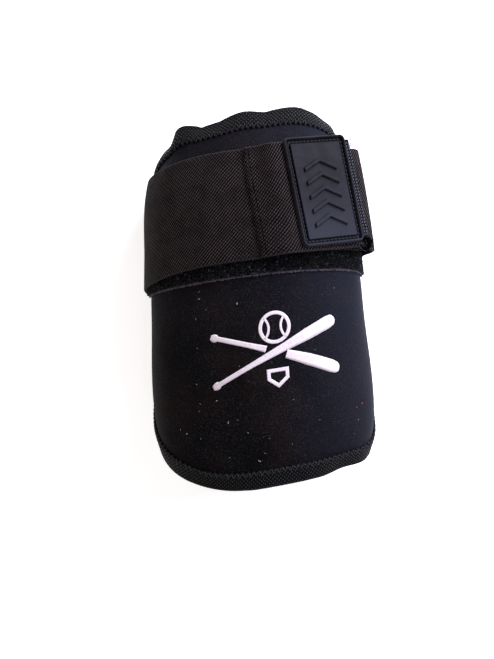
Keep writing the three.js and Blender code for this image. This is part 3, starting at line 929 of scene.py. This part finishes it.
def elasticTwill(name, length):
    # slanting ribs of short floats: a wave across the ribs, broken along them by another, with faded and
    # worn patches, painted shade at the sewn end where the free end lies over it, a darker hem and a paler
    # edge
    source, feed = newMaterial(name, Specular_IOR_Level=0.06, Sheen_Weight=0.02, Sheen_Roughness=0.5)
    u, v, _ = clothPlace(source).parts()
    place = objectPlace(source)
    wander = place.noise(90, 2, 0.5)
    fuzz = place.noise(1500, 2, 0.6)
    faded = place.noise(60, 3, 0.6).over(0.5, 0.68)
    worn = place.noise(120, 3, 0.6).over(0.3, 0.66)
    slope, pitch = strap["twillSlope"], strap["twillPitch"] * millimetre
    ribs = (v * (math.cos(slope) / pitch) - u * (math.sin(slope) / pitch) + wander * 1.2).wave()
    floats = (u * (math.cos(slope) / pitch * 0.8) + v * (math.sin(slope) / pitch * 0.8)).wave()
    weave = (ribs * 0.74 + floats * 0.26).over(0.48, 0.92)
    lit = weave * (0.5 + 0.6 * fuzz) * (0.55 + 0.6 * worn)
    colour = lit.tint((0.0001, 0.0001, 0.0001), (0.066, 0.0445, 0.043))
    colour = (faded * 0.25).tint(colour, (0.008, 0.0062, 0.0066))
    # painted shade: the sewn end, which lies under the free end, is darkened nearly to black
    paintedOverlapShade = u.over(8 * millimetre, 4 * millimetre)
    colour = (paintedOverlapShade * 0.75).tint(colour, (0.0006, 0.0006, 0.0007))
    edge = v.math("ABSOLUTE").over(29.0 * millimetre, 29.5 * millimetre)
    colour = (edge * 0.6).tint(colour, (0.028, 0.025, 0.028))
    hem = u.over((length - 4.5) * millimetre, (length - 3.8) * millimetre)
    colour = (hem * 0.9).tint(colour, (0.0015, 0.0014, 0.0018))
    return feed(
        Base_Color=colour,
        Roughness=0.85 - 0.25 * weave + 0.1 * fuzz,
        Normal=(weave + fuzz * 0.3).bump(1.0, 0.4),
    )


strapOuter, strapInner, strapRun, strapAcross = strapStations()
strapForm = sheetPart(strapOuter, strapInner, pairs(strapRun[:, None], strapAcross[None]))
strapTwill = elasticTwill("strap_twill", float(strapRun[-1]))
strapPiece = makePiece("strap", [strapForm], strapTwill, ["elastic_strap"])

# Threads of the strap, with their random places as a mean and a spread, and their lengths as a range
seamRow = {"reach": 27.5, "pitch": 2.2, "length": 1.6, "fromStep": 2.6, "lift": 0.03, "radius": 0.2}
endRows = {
    "insets": (0.8, 2.3),
    "reach": 28.5,
    "pitch": 1.7,
    "slant": (0.7, 1.1),
    "lift": 0.02,
    "radius": 0.32,
}
fray = {
    "count": 170,
    "cornerCount": 80,
    "cornerPast": (-5.4, 1.8),
    "cornerAcross": (-28.4, 1.2),
    "cornerLength": (0.7, 2.2),
    "edgePast": (-0.2, 0.3),
    "edgeAcross": (-29, 27),
    "edgeLength": (0.4, 0.9),
}
tangle = {"count": 420, "past": (-2.6, 1.4), "across": (-27.9, 1.3), "length": (0.8, 2.4)}


def seamStitches():
    # straight stitches beside the step onto the tab
    w = np.arange(-seamRow["reach"], seamRow["reach"] + 0.1, seamRow["pitch"])
    lift = freeEndTop + seamRow["lift"]
    starts, ends = (
        frontPoint(seamDistance(at) + seamRow["fromStep"], at, lift)
        for at in (w - seamRow["length"] / 2, w + seamRow["length"] / 2)
    )
    return capsules(starts, ends, planeNormal, seamRow["radius"], arch=0.1)


def endStitches():
    # two rows of slanting stitches over the strap's free end, outside the patch
    rows = []
    w = np.arange(-endRows["reach"], endRows["reach"] + 0.1, endRows["pitch"])
    halfRun, halfRise = (size / 2 for size in endRows["slant"])
    for inset in endRows["insets"]:
        starts, ends = (
            frontPoint(freeEnd - inset + sign * halfRun, w + sign * halfRise, freeEndTop + endRows["lift"])
            for sign in (-1, 1)
        )
        rows.append(capsules(starts, ends, planeNormal, endRows["radius"], arch=0.22))
    return rows


def frayedYarn():
    # short loose fibres: a tuft at the free end's lower corner, and a few along its cut edge
    count = fray["count"]
    atCorner = np.arange(count) < fray["cornerCount"]
    past = np.where(atCorner, rng.normal(*fray["cornerPast"], count), rng.normal(*fray["edgePast"], count))
    w = np.where(atCorner, rng.normal(*fray["cornerAcross"], count), rng.uniform(*fray["edgeAcross"], count))
    lift = strapOnTabRise + strap["thickness"] * rng.uniform(0.8, 1.5, count)
    starts = frontPoint(freeEnd + past, w, lift)
    away = planeRight * rng.normal(0.3, 1, (count, 1)) + planeUp * rng.normal(-0.3, 1, (count, 1))
    away = away + planeNormal * rng.normal(0.3, 0.4, (count, 1))
    cornerLength, edgeLength = (rng.uniform(*fray[name], count) for name in ("cornerLength", "edgeLength"))
    ends = starts + unit(away) * np.where(atCorner, cornerLength, edgeLength)[:, None]
    return capsules(starts, ends, planeNormal, 0.12, arch=0.4, sides=4, rings=6, taper=0.2)


def blackTangle():
    # a knot of black yarn where the cut corner of the strap has come undone
    count = tangle["count"]
    distance = freeEnd + rng.normal(*tangle["past"], count)
    w = rng.normal(*tangle["across"], count)
    lift = strapOnTabRise + strap["thickness"] * rng.uniform(0.7, 1.5, count)
    starts = frontPoint(distance, w, lift)
    away = unit(rng.normal(size=(count, 3)) + planeNormal * 0.2)
    ends = starts + away * rng.uniform(*tangle["length"], (count, 1))
    return capsules(starts, ends, planeNormal, 0.2, arch=0.5, sides=5, rings=6, taper=0.3)


def looseThread():
    # one thread end at the free end's upper corner, bent over in a short hook
    t = np.linspace(0, 1, 16)
    line = np.stack([1.0 + 3.6 * t - 1.4 * t**2, 25.6 + 5.0 * t**1.5, 0.4 + 1.2 * np.sin(2.4 * t)], axis=-1)
    points = onPlane(line[:, 0] + freeEnd - strap["tangentAt"] - 1.5, line[:, 1], line[:, 2] + strapOnTabRise)
    starts, ends = points[:-1], points[1:] + (points[1:] - points[:-1]) * 0.15
    return capsules(starts, ends, planeNormal, 0.2, rings=3, taper=0.05)


seamBlack = threadMaterial("seam_thread_black", (0.0004, 0.0004, 0.0005), 0.6, 0.02)
makePiece("seam_thread", [seamStitches(), looseThread(), blackTangle()], seamBlack)
stitchGrey = threadMaterial("strap_thread_grey", (0.075, 0.072, 0.092))
makePiece("strap_thread", endStitches(), stitchGrey)
frayedGrey = threadMaterial("frayed_yarn", (0.05, 0.047, 0.055), 0.6)
makePiece("strap_fray", [frayedYarn()], frayedGrey)
print("scene: strap", len(strapPiece.data.polygons))


# Loop strip
def insideTape(along):
    # how far round the girth the strip may reach and stay clear of the tape: the outline's superellipse,
    # made smaller and solved for the place across
    inner = 1 - (tape["reach"] + 2 * tape["gap"]) / meanHalfSize
    power = min(cornerPowers["strap"])
    return inner * (1 - np.minimum(1, np.abs(along) / inner) ** power) ** (1 / power)


def loopPoint(end, v, rise):  # end runs from -1 to 1 round the girth, v across the strip from its middle
    end, v, rise = np.broadcast_arrays(end, v, rise)
    along = (loopMiddle(end) + v) / halfLength
    across = end * np.minimum(loopStrip["halfGirth"], insideTape(along))
    return raised(across, along, rise)


loopTop = loopRise + loopStrip["thickness"]
stripReach = loopStrip["halfGirth"] * halfGirth
lowerEdge = -loopStrip["width"] / 2


def loopSheet():
    v, fullness = acrossStrap(loopStrip["width"], loopStrip["acrossStep"])
    end = np.linspace(-1, 1, loopStrip["stations"])[:, None]
    closing = np.sqrt(np.clip((1 - np.abs(end)) * 60, 0.06, 1))
    top = loopPoint(end, v[None], 0.1 + (loopTop - 0.1) * fullness[None] * closing)
    under = loopPoint(end, v[None], 0.06)
    return sheetPart(top, under, pairs(rowLengths(top[:, 2])[:, None], v[None]))


def loopFuzz():
    # small arches of yarn, standing on the part of the strip that shows and leaning any way
    count = loopStrip["fuzzCount"]
    end = rng.uniform(-0.99, 0.99, count)
    v = lowerEdge + 0.3 + rng.uniform(0, 1, count) * loopStrip["fuzzBand"]
    angle = rng.uniform(0, 2 * math.pi, count)
    size = rng.uniform(*loopStrip["fuzzSize"], count)
    starts = loopPoint(end, v, loopTop - 0.2)
    ends = loopPoint(end + np.cos(angle) * size / stripReach, v + np.sin(angle) * size, loopTop - 0.2)
    along = (loopStrip["middle"] + v) / halfLength
    ups = skinNormal(end * loopStrip["halfGirth"], along) + rng.normal(0, 0.4, (count, 3))
    radius = rng.uniform(*loopStrip["fuzzRadius"], count)
    arch = rng.uniform(*loopStrip["fuzzArch"], count)
    return capsules(starts, ends, ups, radius, arch, sides=4, rings=4, taper=0.2)


def selvageFibres():
    # loose ends standing off the woven edge, up over the pile and down over the pad
    count = loopStrip["fibreCount"]
    end = rng.uniform(-0.99, 0.99, count)
    v = lowerEdge + 0.1
    starts = loopPoint(end, v, 0.7)
    reach = rng.normal(0.25, 0.75, count)
    ends = loopPoint(end + rng.normal(0, 0.9, count) / stripReach, v + reach, 0.9 + 0.9 * (reach > 0))
    ups = starts - starts.mean(0)
    return capsules(starts, ends, ups, 0.09, arch=0.25, sides=4, rings=4, taper=0.3)


def selvage():
    # the strip's woven lower edge: a flat cord sewn along it, its width uneven by a sum of sine waves
    end = np.linspace(-0.995, 0.995, loopStrip["selvageStations"])
    phases = np.random.default_rng(12).uniform(0, 2 * math.pi, loopStrip["selvageWaves"])
    run = end * stripReach
    waves = (np.sin(run * (0.35 + 0.33 * k) + phase) for k, phase in enumerate(phases))
    width = loopStrip["selvageWidth"] + loopStrip["selvageWaver"] * sum(waves)
    around = np.linspace(0, 2 * math.pi, loopStrip["selvageSides"], endpoint=False)
    v = lowerEdge - 0.1 + width[:, None] * np.cos(around)[None]
    rise = 0.55 + 0.55 * width[:, None] * np.sin(around)[None]
    circles = loopPoint(end[:, None], v, rise)
    points = np.concatenate([circles.reshape(-1, 3), circles[0].mean(0)[None], circles[-1].mean(0)[None]])
    return {"points": points, "faces": tubeFaces(*circles.shape[:2])}


def speckledYarn(name):  # black yarn with painted glints: specks of paler base colour where its shinier loops catch the light
    source, feed = newMaterial(name, Specular_IOR_Level=0.25)
    # painted glints: random specks tinted paler and bluer
    paintedGlint = objectPlace(source).noise(520, 2, 0.6).over(0.57, 0.69)
    colour = paintedGlint.tint((0.0002, 0.0002, 0.0002), (0.046, 0.046, 0.066))
    return feed(Base_Color=colour, Roughness=0.75 - 0.3 * paintedGlint)


def loopPile(name):
    source, feed = newMaterial(name, Specular_IOR_Level=0.04)
    place = objectPlace(source)
    tuft = place.noise(1100, 3, 0.7)
    colour = tuft.over(0.5, 0.75).tint((0.0002, 0.0002, 0.0003), (0.003, 0.003, 0.004))
    return feed(Base_Color=colour, Roughness=0.8 + 0.15 * tuft, Normal=tuft.bump(1.0, 0.9))


loopPiece = makePiece("loop_pile", [loopSheet()], loopPile("loop_pile_black"), ["loop_strip"])
fuzzPiece = makePiece("loop_fuzz", [loopFuzz()], speckledYarn("loop_yarn"))
edgeGrey = threadMaterial("grey_edge_yarn", (0.06, 0.05, 0.06), 0.7)
makePiece("loop_selvage", [selvage(), selvageFibres()], edgeGrey)
print("scene: loop strip", len(loopPiece.data.polygons), len(fuzzPiece.data.polygons))


# Hook tab
def hookSheet():
    w, fullness = acrossStrap(hookTab["width"], hookTab["acrossStep"])
    share = np.concatenate([[0, 0.004, 0.012], np.linspace(0.02, 1, 60)])[:, None]
    distance = mix(seamDistance(w[None]) + hookTab["fromSeam"], hookTab["end"], share)
    slip = -(distance - hookTab["start"]) * math.tan(hookTab["skew"])
    ends = np.sqrt(np.clip(np.minimum(share, 1 - share) * 70, 0.06, 1))
    half = hookTab["thickness"] / 2
    outer, inner = (
        frontPoint(distance, w[None] + slip, tabRise + half + sign * half * fullness[None] * ends)
        for sign in (1, -1)
    )
    return sheetPart(outer, inner, pairs(distance, w[None]))


makePiece("hook_tape", [hookSheet()], wovenTape("hook_tape_weave"), ["hook_tab"])


# Rubber patch
patch = {
    "length": 59.6,
    "width": 37.8,
    "turn": math.radians(1.4),
    "lean": math.radians(1.65),
    "taper": 0.0004,
    "base": 1.1,
    "corner": 3.2,
    "shiftRight": 2.2,
    "shiftUp": 2.1,
    "rimWidth": 1.7,
    "rimHeight": 1.3,
    "grooveWidth": 1.9,
    "plateauHeight": 0.7,
    "plateauCorner": 0.9,
    "plateauSlope": 0.45,
    "reliefHeight": 1.25,
    "reliefWidth": 2.3,
    "chevronCount": 5,
    "chevronPitch": 7.6,
    "chevronWidth": 19.5,
    "chevronDepth": 5.0,
    "chevronSlope": 0.35,
    "grooveDepth": 0.6,
    "stitchPitch": 2.3,
    "stitchRadius": 0.42,
    "stitchCorner": 1.6,
    "gridStep": 0.25,
}
halfPatchX = patch["width"] / 2
halfPatchY = patch["length"] / 2
patchLift = freeEndTop + 0.04


def roundedDistance(x, y, halfX, halfY, radius):  # to a rounded rectangle's outline, negative inside
    dx = np.abs(x) - (halfX - radius)
    dy = np.abs(y) - (halfY - radius)
    outside = np.hypot(np.maximum(dx, 0), np.maximum(dy, 0))
    return outside + np.minimum(np.maximum(dx, dy), 0) - radius


def chevronHeight(x, y):  # raised bars bent in the middle, with soft edges
    total = np.zeros_like(x)
    slope = patch["chevronDepth"] / (patch["chevronWidth"] / 2)
    for i in range(patch["chevronCount"]):
        tip = (i - (patch["chevronCount"] - 1) / 2) * patch["chevronPitch"]
        middle = tip + patch["reliefWidth"] / 2 - np.abs(x) * slope
        across = np.abs(y - middle) / math.hypot(1, slope) - patch["reliefWidth"] / 2 * 0.9
        off = np.maximum(across, np.abs(x) - patch["chevronWidth"] / 2)
        total = np.maximum(total, smooth(0.5 - off / patch["chevronSlope"]))
    return total * patch["reliefHeight"]


def patchHeight(x, y):
    # a rounded bead at the edge, a groove, and a plateau, then the chevrons on it
    inside = -roundedDistance(x, y, halfPatchX, halfPatchY, patch["corner"])
    halfRim = patch["rimWidth"] / 2
    bead = np.sqrt(np.clip(1 - ((inside - halfRim) / halfRim) ** 2, 0, 1))
    floor = patch["base"] - patch["grooveDepth"]
    height = floor + (patch["rimHeight"] + patch["grooveDepth"]) * bead**0.8
    border = patch["rimWidth"] + patch["grooveWidth"]
    plateau = -roundedDistance(x, y, halfPatchX - border, halfPatchY - border, patch["plateauCorner"])
    rise = patch["plateauHeight"] + patch["grooveDepth"]
    height = np.maximum(height, floor + rise * smooth(plateau / patch["plateauSlope"] + 0.3))
    return height + chevronHeight(x, y) * smooth(plateau)


def onPatch(x, y, rise):  # the patch on its plane: tapered, leaning, turned and shifted a little
    x = x * (1 + patch["taper"] * y) + y * math.tan(patch["lean"])
    right = x * math.cos(patch["turn"]) - y * math.sin(patch["turn"]) + patch["shiftRight"]
    up = x * math.sin(patch["turn"]) + y * math.cos(patch["turn"]) + patch["shiftUp"]
    return onPlane(right, up, rise + patchLift)


def patchSheet():
    # a square grid drawn out to the rounded outline: beyond the corner's reach, points slide onto it
    countX = int(patch["width"] / patch["gridStep"])
    countY = int(patch["length"] / patch["gridStep"])
    x = np.linspace(-halfPatchX, halfPatchX, countX + 1)[:, None]
    y = np.linspace(-halfPatchY, halfPatchY, countY + 1)[None]
    x, y = np.broadcast_arrays(x, y)
    coreX, coreY = halfPatchX - patch["corner"], halfPatchY - patch["corner"]
    dx, dy = np.maximum(np.abs(x) - coreX, 0), np.maximum(np.abs(y) - coreY, 0)
    reach = np.maximum(np.hypot(dx, dy), 1e-9)
    draw = np.maximum(dx, dy) / reach
    x = np.sign(x) * (np.minimum(np.abs(x), coreX) + dx * draw)
    y = np.sign(y) * (np.minimum(np.abs(y), coreY) + dy * draw)
    return sheetPart(onPatch(x, y, patchHeight(x, y)), onPatch(x, y, 0), pairs(x, y))


def patchStitches():
    # stitches lying in the groove, evenly round it
    inset = patch["rimWidth"] + patch["grooveWidth"] * 0.5
    radius = patch["stitchCorner"]
    centre = np.array([halfPatchX, halfPatchY]) - inset - radius
    quarter = np.linspace(0, math.pi / 2, 12)
    corners = []
    for number, signs in enumerate(((1, 1), (-1, 1), (-1, -1), (1, -1))):
        turn = quarter + number * math.pi / 2
        corners.append(centre * signs + radius * np.stack([np.cos(turn), np.sin(turn)], axis=-1))
    path = np.concatenate([*corners, corners[0][:1]])
    places, heading = evenly(path, patch["stitchPitch"])
    places, heading = places[:-1], heading[:-1]
    length = patch["stitchPitch"] * 0.6
    low, high = places - heading * length / 2, places + heading * length / 2
    lift = patch["base"] - patch["grooveDepth"] + 0.15
    starts, ends = onPatch(*low.T, lift), onPatch(*high.T, lift)
    return capsules(starts, ends, planeNormal, patch["stitchRadius"], arch=0.4)


def mouldedRubber(name):
    # dull grey rubber, worn in patches, with a painted sheen that makes its lower half paler and bluer, and
    # painted shade that darkens the groove
    source, feed = newMaterial(name, Specular_IOR_Level=0.06)
    place = objectPlace(source)
    fine = place.noise(3000, 2, 0.5)
    wear = place.noise(150, 3, 0.6)
    smudge = place.noise(45, 2, 0.5)
    x, y, _ = clothPlace(source).parts()
    fromSide = halfPatchX * millimetre - x.math("ABSOLUTE")
    inside = fromSide.math("MINIMUM", halfPatchY * millimetre - y.math("ABSOLUTE"))
    low = patch["rimWidth"] * millimetre
    high = low + patch["grooveWidth"] * millimetre
    # painted shade: the groove between the rim and the plateau is darkened nearly to black
    groove = inside.over(low - 0.0002, low + 0.0002) * (1 - inside.over(high - 0.0001, high + 0.0002))
    colour = wear.over(0.3, 0.75).tint((0.0072, 0.0062, 0.0082), (0.0145, 0.0122, 0.0165))
    # painted sheen: the patch's lower half is tinted paler and bluer
    wearAndPaintedSheen = (1 - y.over(-0.028, 0.008)) * 0.85
    colour = wearAndPaintedSheen.tint(colour, (0.0190, 0.0180, 0.0265))
    colour = (groove * 0.92).tint(colour, (0.0008, 0.0008, 0.001))
    return feed(
        Base_Color=colour,
        Roughness=0.42 + 0.2 * smudge + 0.1 * wear,
        Normal=fine.bump(0.3, 0.1),
    )


patchGrey = mouldedRubber("patch_rubber_grey")
patchPiece = makePiece("patch", [patchSheet()], patchGrey, ["rubber_patch"], sharp=50)
patchYarn = threadMaterial("patch_thread_grey", (0.022, 0.021, 0.028))
makePiece("patch_thread", [patchStitches()], patchYarn)
print("scene: patch", len(patchPiece.data.polygons))


# White print on the front: two crossed bats, a ball and a home plate, laid on the pad
printed = {
    "x": 8.0,
    "along": -31.0,
    "batLength": 74,
    "batLean": math.radians(21),
    "batGap": 0.075,  # share of the bat
    "batShares": (0, 0.02, 0.045, 0.055, 0.3, 0.55, 0.75, 0.93, 0.975, 0.995, 1.0),
    "batWidths": (2.2, 4.0, 4.0, 2.5, 2.7, 4.2, 6.2, 6.7, 5.8, 3.6, 1.4),
    "ballRadius": 7.6,
    "ballAt": 12.6,
    "seamSweep": 0.8,  # radians
    "seamApart": 1.42,  # radii from the ball's middle to the middle of a seam's arc
    "plate": ((0, -5.2), (4.8, -1.4), (4.8, 2.8), (-4.8, 2.8), (-4.8, -1.4)),
    "ringWidth": 1.9,
    "seamWidth": 1.25,
    "plateAt": -12.4,
    "acrossCount": 5,  # points across a band
    "startLift": 4.0,  # over the pad before the bands are laid on it
    "lift": 0.05,
    "thickness": 0.16,
}


def ribbon(line, width, count):  # a flat band along a line, with its width at even shares of the way
    line, heading = evenly(line, rowLengths(line)[-1] / count)
    width = np.interp(np.linspace(0, 1, len(line)), np.linspace(0, 1, len(width)), width)
    left = np.stack([-heading[:, 1], heading[:, 0]], axis=-1) * width[:, None] / 2
    return line[:, None] + left[:, None] * np.linspace(-1, 1, printed["acrossCount"])[None, :, None]


def batBands(sign):  # one bat, knob to barrel, leaning by the sign; the one below stops at the crossing
    lean = printed["batLean"] * sign
    ahead = np.array([math.cos(lean), math.sin(lean)])
    stops = [(0, 1)] if sign > 0 else [(0, 0.5 - printed["batGap"]), (0.5 + printed["batGap"], 1)]
    bands = []
    for low, high in stops:
        at = np.linspace(low, high, 90)
        line = ahead * ((at - 0.5) * printed["batLength"])[:, None]
        bands.append(ribbon(line, np.interp(at, printed["batShares"], printed["batWidths"]), len(at)))
    return bands


def printBands():
    # two crossed bats, a ball in the upper notch and a home plate in the lower one: the bands with two
    # ends, and the rings without. A ring is a line and its way out to the ring's edge, which at the
    # plate's corners is mitred: longer by one over the cosine of half the corner's turn.
    bands = [*batBands(1), *batBands(-1)]
    middle = np.array([0, printed["ballAt"]])
    radius = printed["ballRadius"]
    turn = np.linspace(0, 2 * math.pi, 91)
    outward = np.stack([np.cos(turn), np.sin(turn)], -1)
    rings = [(middle + outward * radius, outward * printed["ringWidth"] / 2)]
    sweep = np.linspace(-printed["seamSweep"], printed["seamSweep"], 30)
    for side in (-1, 1):
        across = side * (radius * printed["seamApart"] - radius * np.cos(sweep))
        arc = np.stack([across, radius * np.sin(sweep)], axis=-1)
        bands.append(ribbon(middle + arc, [printed["seamWidth"]], len(sweep)))
    plate = np.array([*printed["plate"], printed["plate"][0]]) + (0, printed["plateAt"])
    toward = unit(np.diff(plate, axis=0))
    mitre = unit(np.roll(toward, 1, axis=0) - toward)
    half = printed["ringWidth"] / 2 / np.sqrt((1 + np.sum(toward * np.roll(toward, 1, axis=0), -1)) / 2)
    mitre = np.concatenate([mitre, mitre[:1]]) * np.append(half, half[0])[:, None]
    sides = len(toward)
    share = np.linspace(0, sides, 12 * sides + 1)
    corner = np.minimum(share.astype(int), sides - 1)
    along = (share - corner)[:, None]
    rings.append((mix(plate[corner], plate[corner + 1], along), mix(mitre[corner], mitre[corner + 1], along)))
    across = np.linspace(1, -1, printed["acrossCount"])[None, :, None]
    return bands, [(line[:, None] + out[:, None] * across)[:-1] for line, out in rings]


def printParts():  # the bands and rings, laid well above the pad
    parts = []
    bands, rings = printBands()
    for number, band in enumerate([*bands, *rings]):
        across = (printed["x"] + band[..., 0]) / halfGirth
        along = (printed["along"] + band[..., 1]) / halfLength
        index = gridIndex(*band.shape[:2], roundRows=number >= len(bands))
        points = raised(across, along, np.full(across.shape, printed["startLift"]))
        parts.append({"points": points, "faces": [gridQuads(index)]})
    return parts


def applyModifiers(piece):
    mesh = bpy.data.meshes.new_from_object(piece.evaluated_get(bpy.context.evaluated_depsgraph_get()))
    piece.modifiers.clear()
    piece.data = mesh


def whiteInk(name):
    source, feed = newMaterial(name, Specular_IOR_Level=0.4)
    place = objectPlace(source)
    grain = place.noise(1300, 2, 0.6)
    wearAndPaintedSheen = place.noise(90, 3, 0.6)
    colour = (grain * 0.6 + wearAndPaintedSheen * 0.4).over(0.3, 0.6).tint((0.5, 0.415, 0.44), (0.66, 0.56, 0.59))
    return feed(Base_Color=colour, Roughness=0.5 + 0.2 * grain, Normal=grain.bump(0.35, 0.15))


inkPiece = makePiece("print", printParts(), whiteInk("print_white"))
wrap = inkPiece.modifiers.new("wrap", "SHRINKWRAP")
wrap.target = padPiece
wrap.wrap_method = "NEAREST_SURFACEPOINT"
wrap.wrap_mode = "ABOVE_SURFACE"
wrap.offset = printed["lift"] * millimetre
shell = inkPiece.modifiers.new("shell", "SOLIDIFY")
shell.thickness = printed["thickness"] * millimetre
shell.offset = 1
applyModifiers(inkPiece)
print("scene: print", len(inkPiece.data.polygons))


# Lint on the pad: short curled fibres lying on it, a few brighter ones, and one red one
lint = {
    "bright": ((-29.7, 0.2), (-10.2, -4.0), (-24.0, -53.0), (-18.6, -64.5), (-40.0, -69.0), (-4.0, -85.0)),
    "red": ((52.0, -58.0),),
    "fineCount": 24,
    "fineSide": (-50, 50),
    "fineAlong": (-88, 4),
    "fineSize": (0.9, 0.06, 0.15),  # length, radius and lift, as are the next two
    "brightSize": (1.1, 0.2, 0.2),
    "redSize": (1.6, 0.22, 0.2),
}


def lintFibres(places, length, radius, lift):
    # curled fibres at the pad's grid points nearest to the places in plan, turned any way
    x, y = np.asarray(places, float).T[..., None]
    flat = outerFace.reshape(-1, 3)
    nearest = np.hypot(flat[:, 0] - x, flat[:, 1] - y).argmin(axis=1)
    across, along = (share.ravel()[nearest] for share in padGrid(pad["gridCount"], "outer")[1])
    normal = skinNormal(across, along)
    step = unit(np.cross(normal, rng.normal(size=normal.shape)))
    step = step * rng.uniform(0.3, 0.65, (len(normal), 1)) * length
    middle = flat[nearest] + normal * lift
    ups = normal + rng.normal(0, 0.5, normal.shape)
    arch = rng.uniform(0.1, 0.3, len(normal))
    return capsules(middle - step, middle + step, ups, radius, arch, sides=5, rings=6, taper=0.3)


fineLint = np.stack([rng.uniform(*lint[way], lint["fineCount"]) for way in ("fineSide", "fineAlong")], -1)
fibres = [lintFibres(fineLint, *lint["fineSize"]), lintFibres(lint["bright"], *lint["brightSize"])]
makePiece("lint", fibres, threadMaterial("lint_grey", (0.3, 0.28, 0.26), 0.7))
redFibre = lintFibres(lint["red"], *lint["redSize"])
makePiece("lint_red", [redFibre], threadMaterial("lint_red_fibre", (0.35, 0.05, 0.04), 0.7))


# Floor, light and camera
def pointAlong(holder, place, direction):
    holder.location = place
    holder.rotation_mode = "QUATERNION"
    holder.rotation_quaternion = direction.to_track_quat("-Z", "Y")


def softLight(name, place, target, size, power, colour):
    lamp = bpy.data.lights.new(name, "AREA")
    lamp.shape = "RECTANGLE"
    lamp.size, lamp.size_y = size
    lamp.energy = power
    lamp.color = colour
    pointAlong(newObject(name, lamp), place, Vector(target) - Vector(place))


def paleFloor():
    side = 6.0
    low = -0.2 * millimetre  # under the strap, which lies at 0
    corners = [(-side, -side, low), (side, -side, low), (side, side, low), (-side, side, low)]
    mesh = bpy.data.meshes.new("floor")
    mesh.from_pydata(corners, [], [(0, 1, 2, 3)])
    floor = newObject("floor", mesh)
    source, feed = newMaterial("floor_pale", Specular_IOR_Level=0.2, Roughness=0.8, Emission_Strength=0.6)
    tone = objectPlace(source).noise(3, 2, 0.5).tint((0.95, 0.95, 0.95), (0.965, 0.965, 0.965))
    mesh.materials.append(feed(Base_Color=tone, Emission_Color=tone))
    floor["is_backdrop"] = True


paleFloor()
world = bpy.data.worlds.new("studio")
bpy.context.scene.world = world
world.use_nodes = True
sky = world.node_tree.nodes["Background"].inputs
sky["Color"].default_value = (0.9, 0.94, 1.0, 1)
sky["Strength"].default_value = 0.2

# Each lamp: where it is, what it faces, its size in metres, its power and its colour
softLight("window", (0.62, 0.8, 0.62), (0, 0, 0.03), (0.5, 0.5), 17, (0.84, 0.92, 1.0))
softLight("right", (0.9, 0.2, 0.62), (0, 0, 0.03), (0.45, 0.45), 13, (0.74, 0.78, 1.0))
softLight("farEdge", (0.5, 0.9, 0.28), (0.02, 0.08, 0.03), (0.3, 0.3), 6, (0.8, 0.87, 1.0))
softLight("left", (-0.85, 0.1, 0.6), (0, 0, 0.03), (0.6, 0.6), 2.6, (1.0, 0.8, 0.7))
softLight("overFloor", (-0.6, -0.6, 1.3), (-0.5, -0.4, 0), (0.9, 0.9), 2, (1.0, 1.0, 1.0))
softLight("front", (-0.05, -0.95, 0.8), (0, 0, 0.03), (0.7, 0.6), 2.2, (1.0, 0.97, 0.95))

cameraView = {
    "azimuth": math.radians(-3.3),
    "elevation": math.radians(82.75),
    "distance": 0.7,
    "lens": 70.93,
    "aim": (-0.0082, -0.016, 0.030),  # metres, as is the distance
}
azimuth, elevation = cameraView["azimuth"], cameraView["elevation"]
back = Vector((
    math.sin(azimuth) * math.cos(elevation),
    -math.cos(azimuth) * math.cos(elevation),
    math.sin(elevation),
))
camera = newObject("camera", bpy.data.cameras.new("camera"))
camera.data.sensor_width = 36
camera.data.lens = cameraView["lens"]
pointAlong(camera, Vector(cameraView["aim"]) + back * cameraView["distance"], -back)
bpy.context.scene.camera = camera
bpy.context.scene.view_settings.view_transform = "Standard"

corners = [[list(corner) for corner in box] for box in (cadBounds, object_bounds())]
print("scene: done")
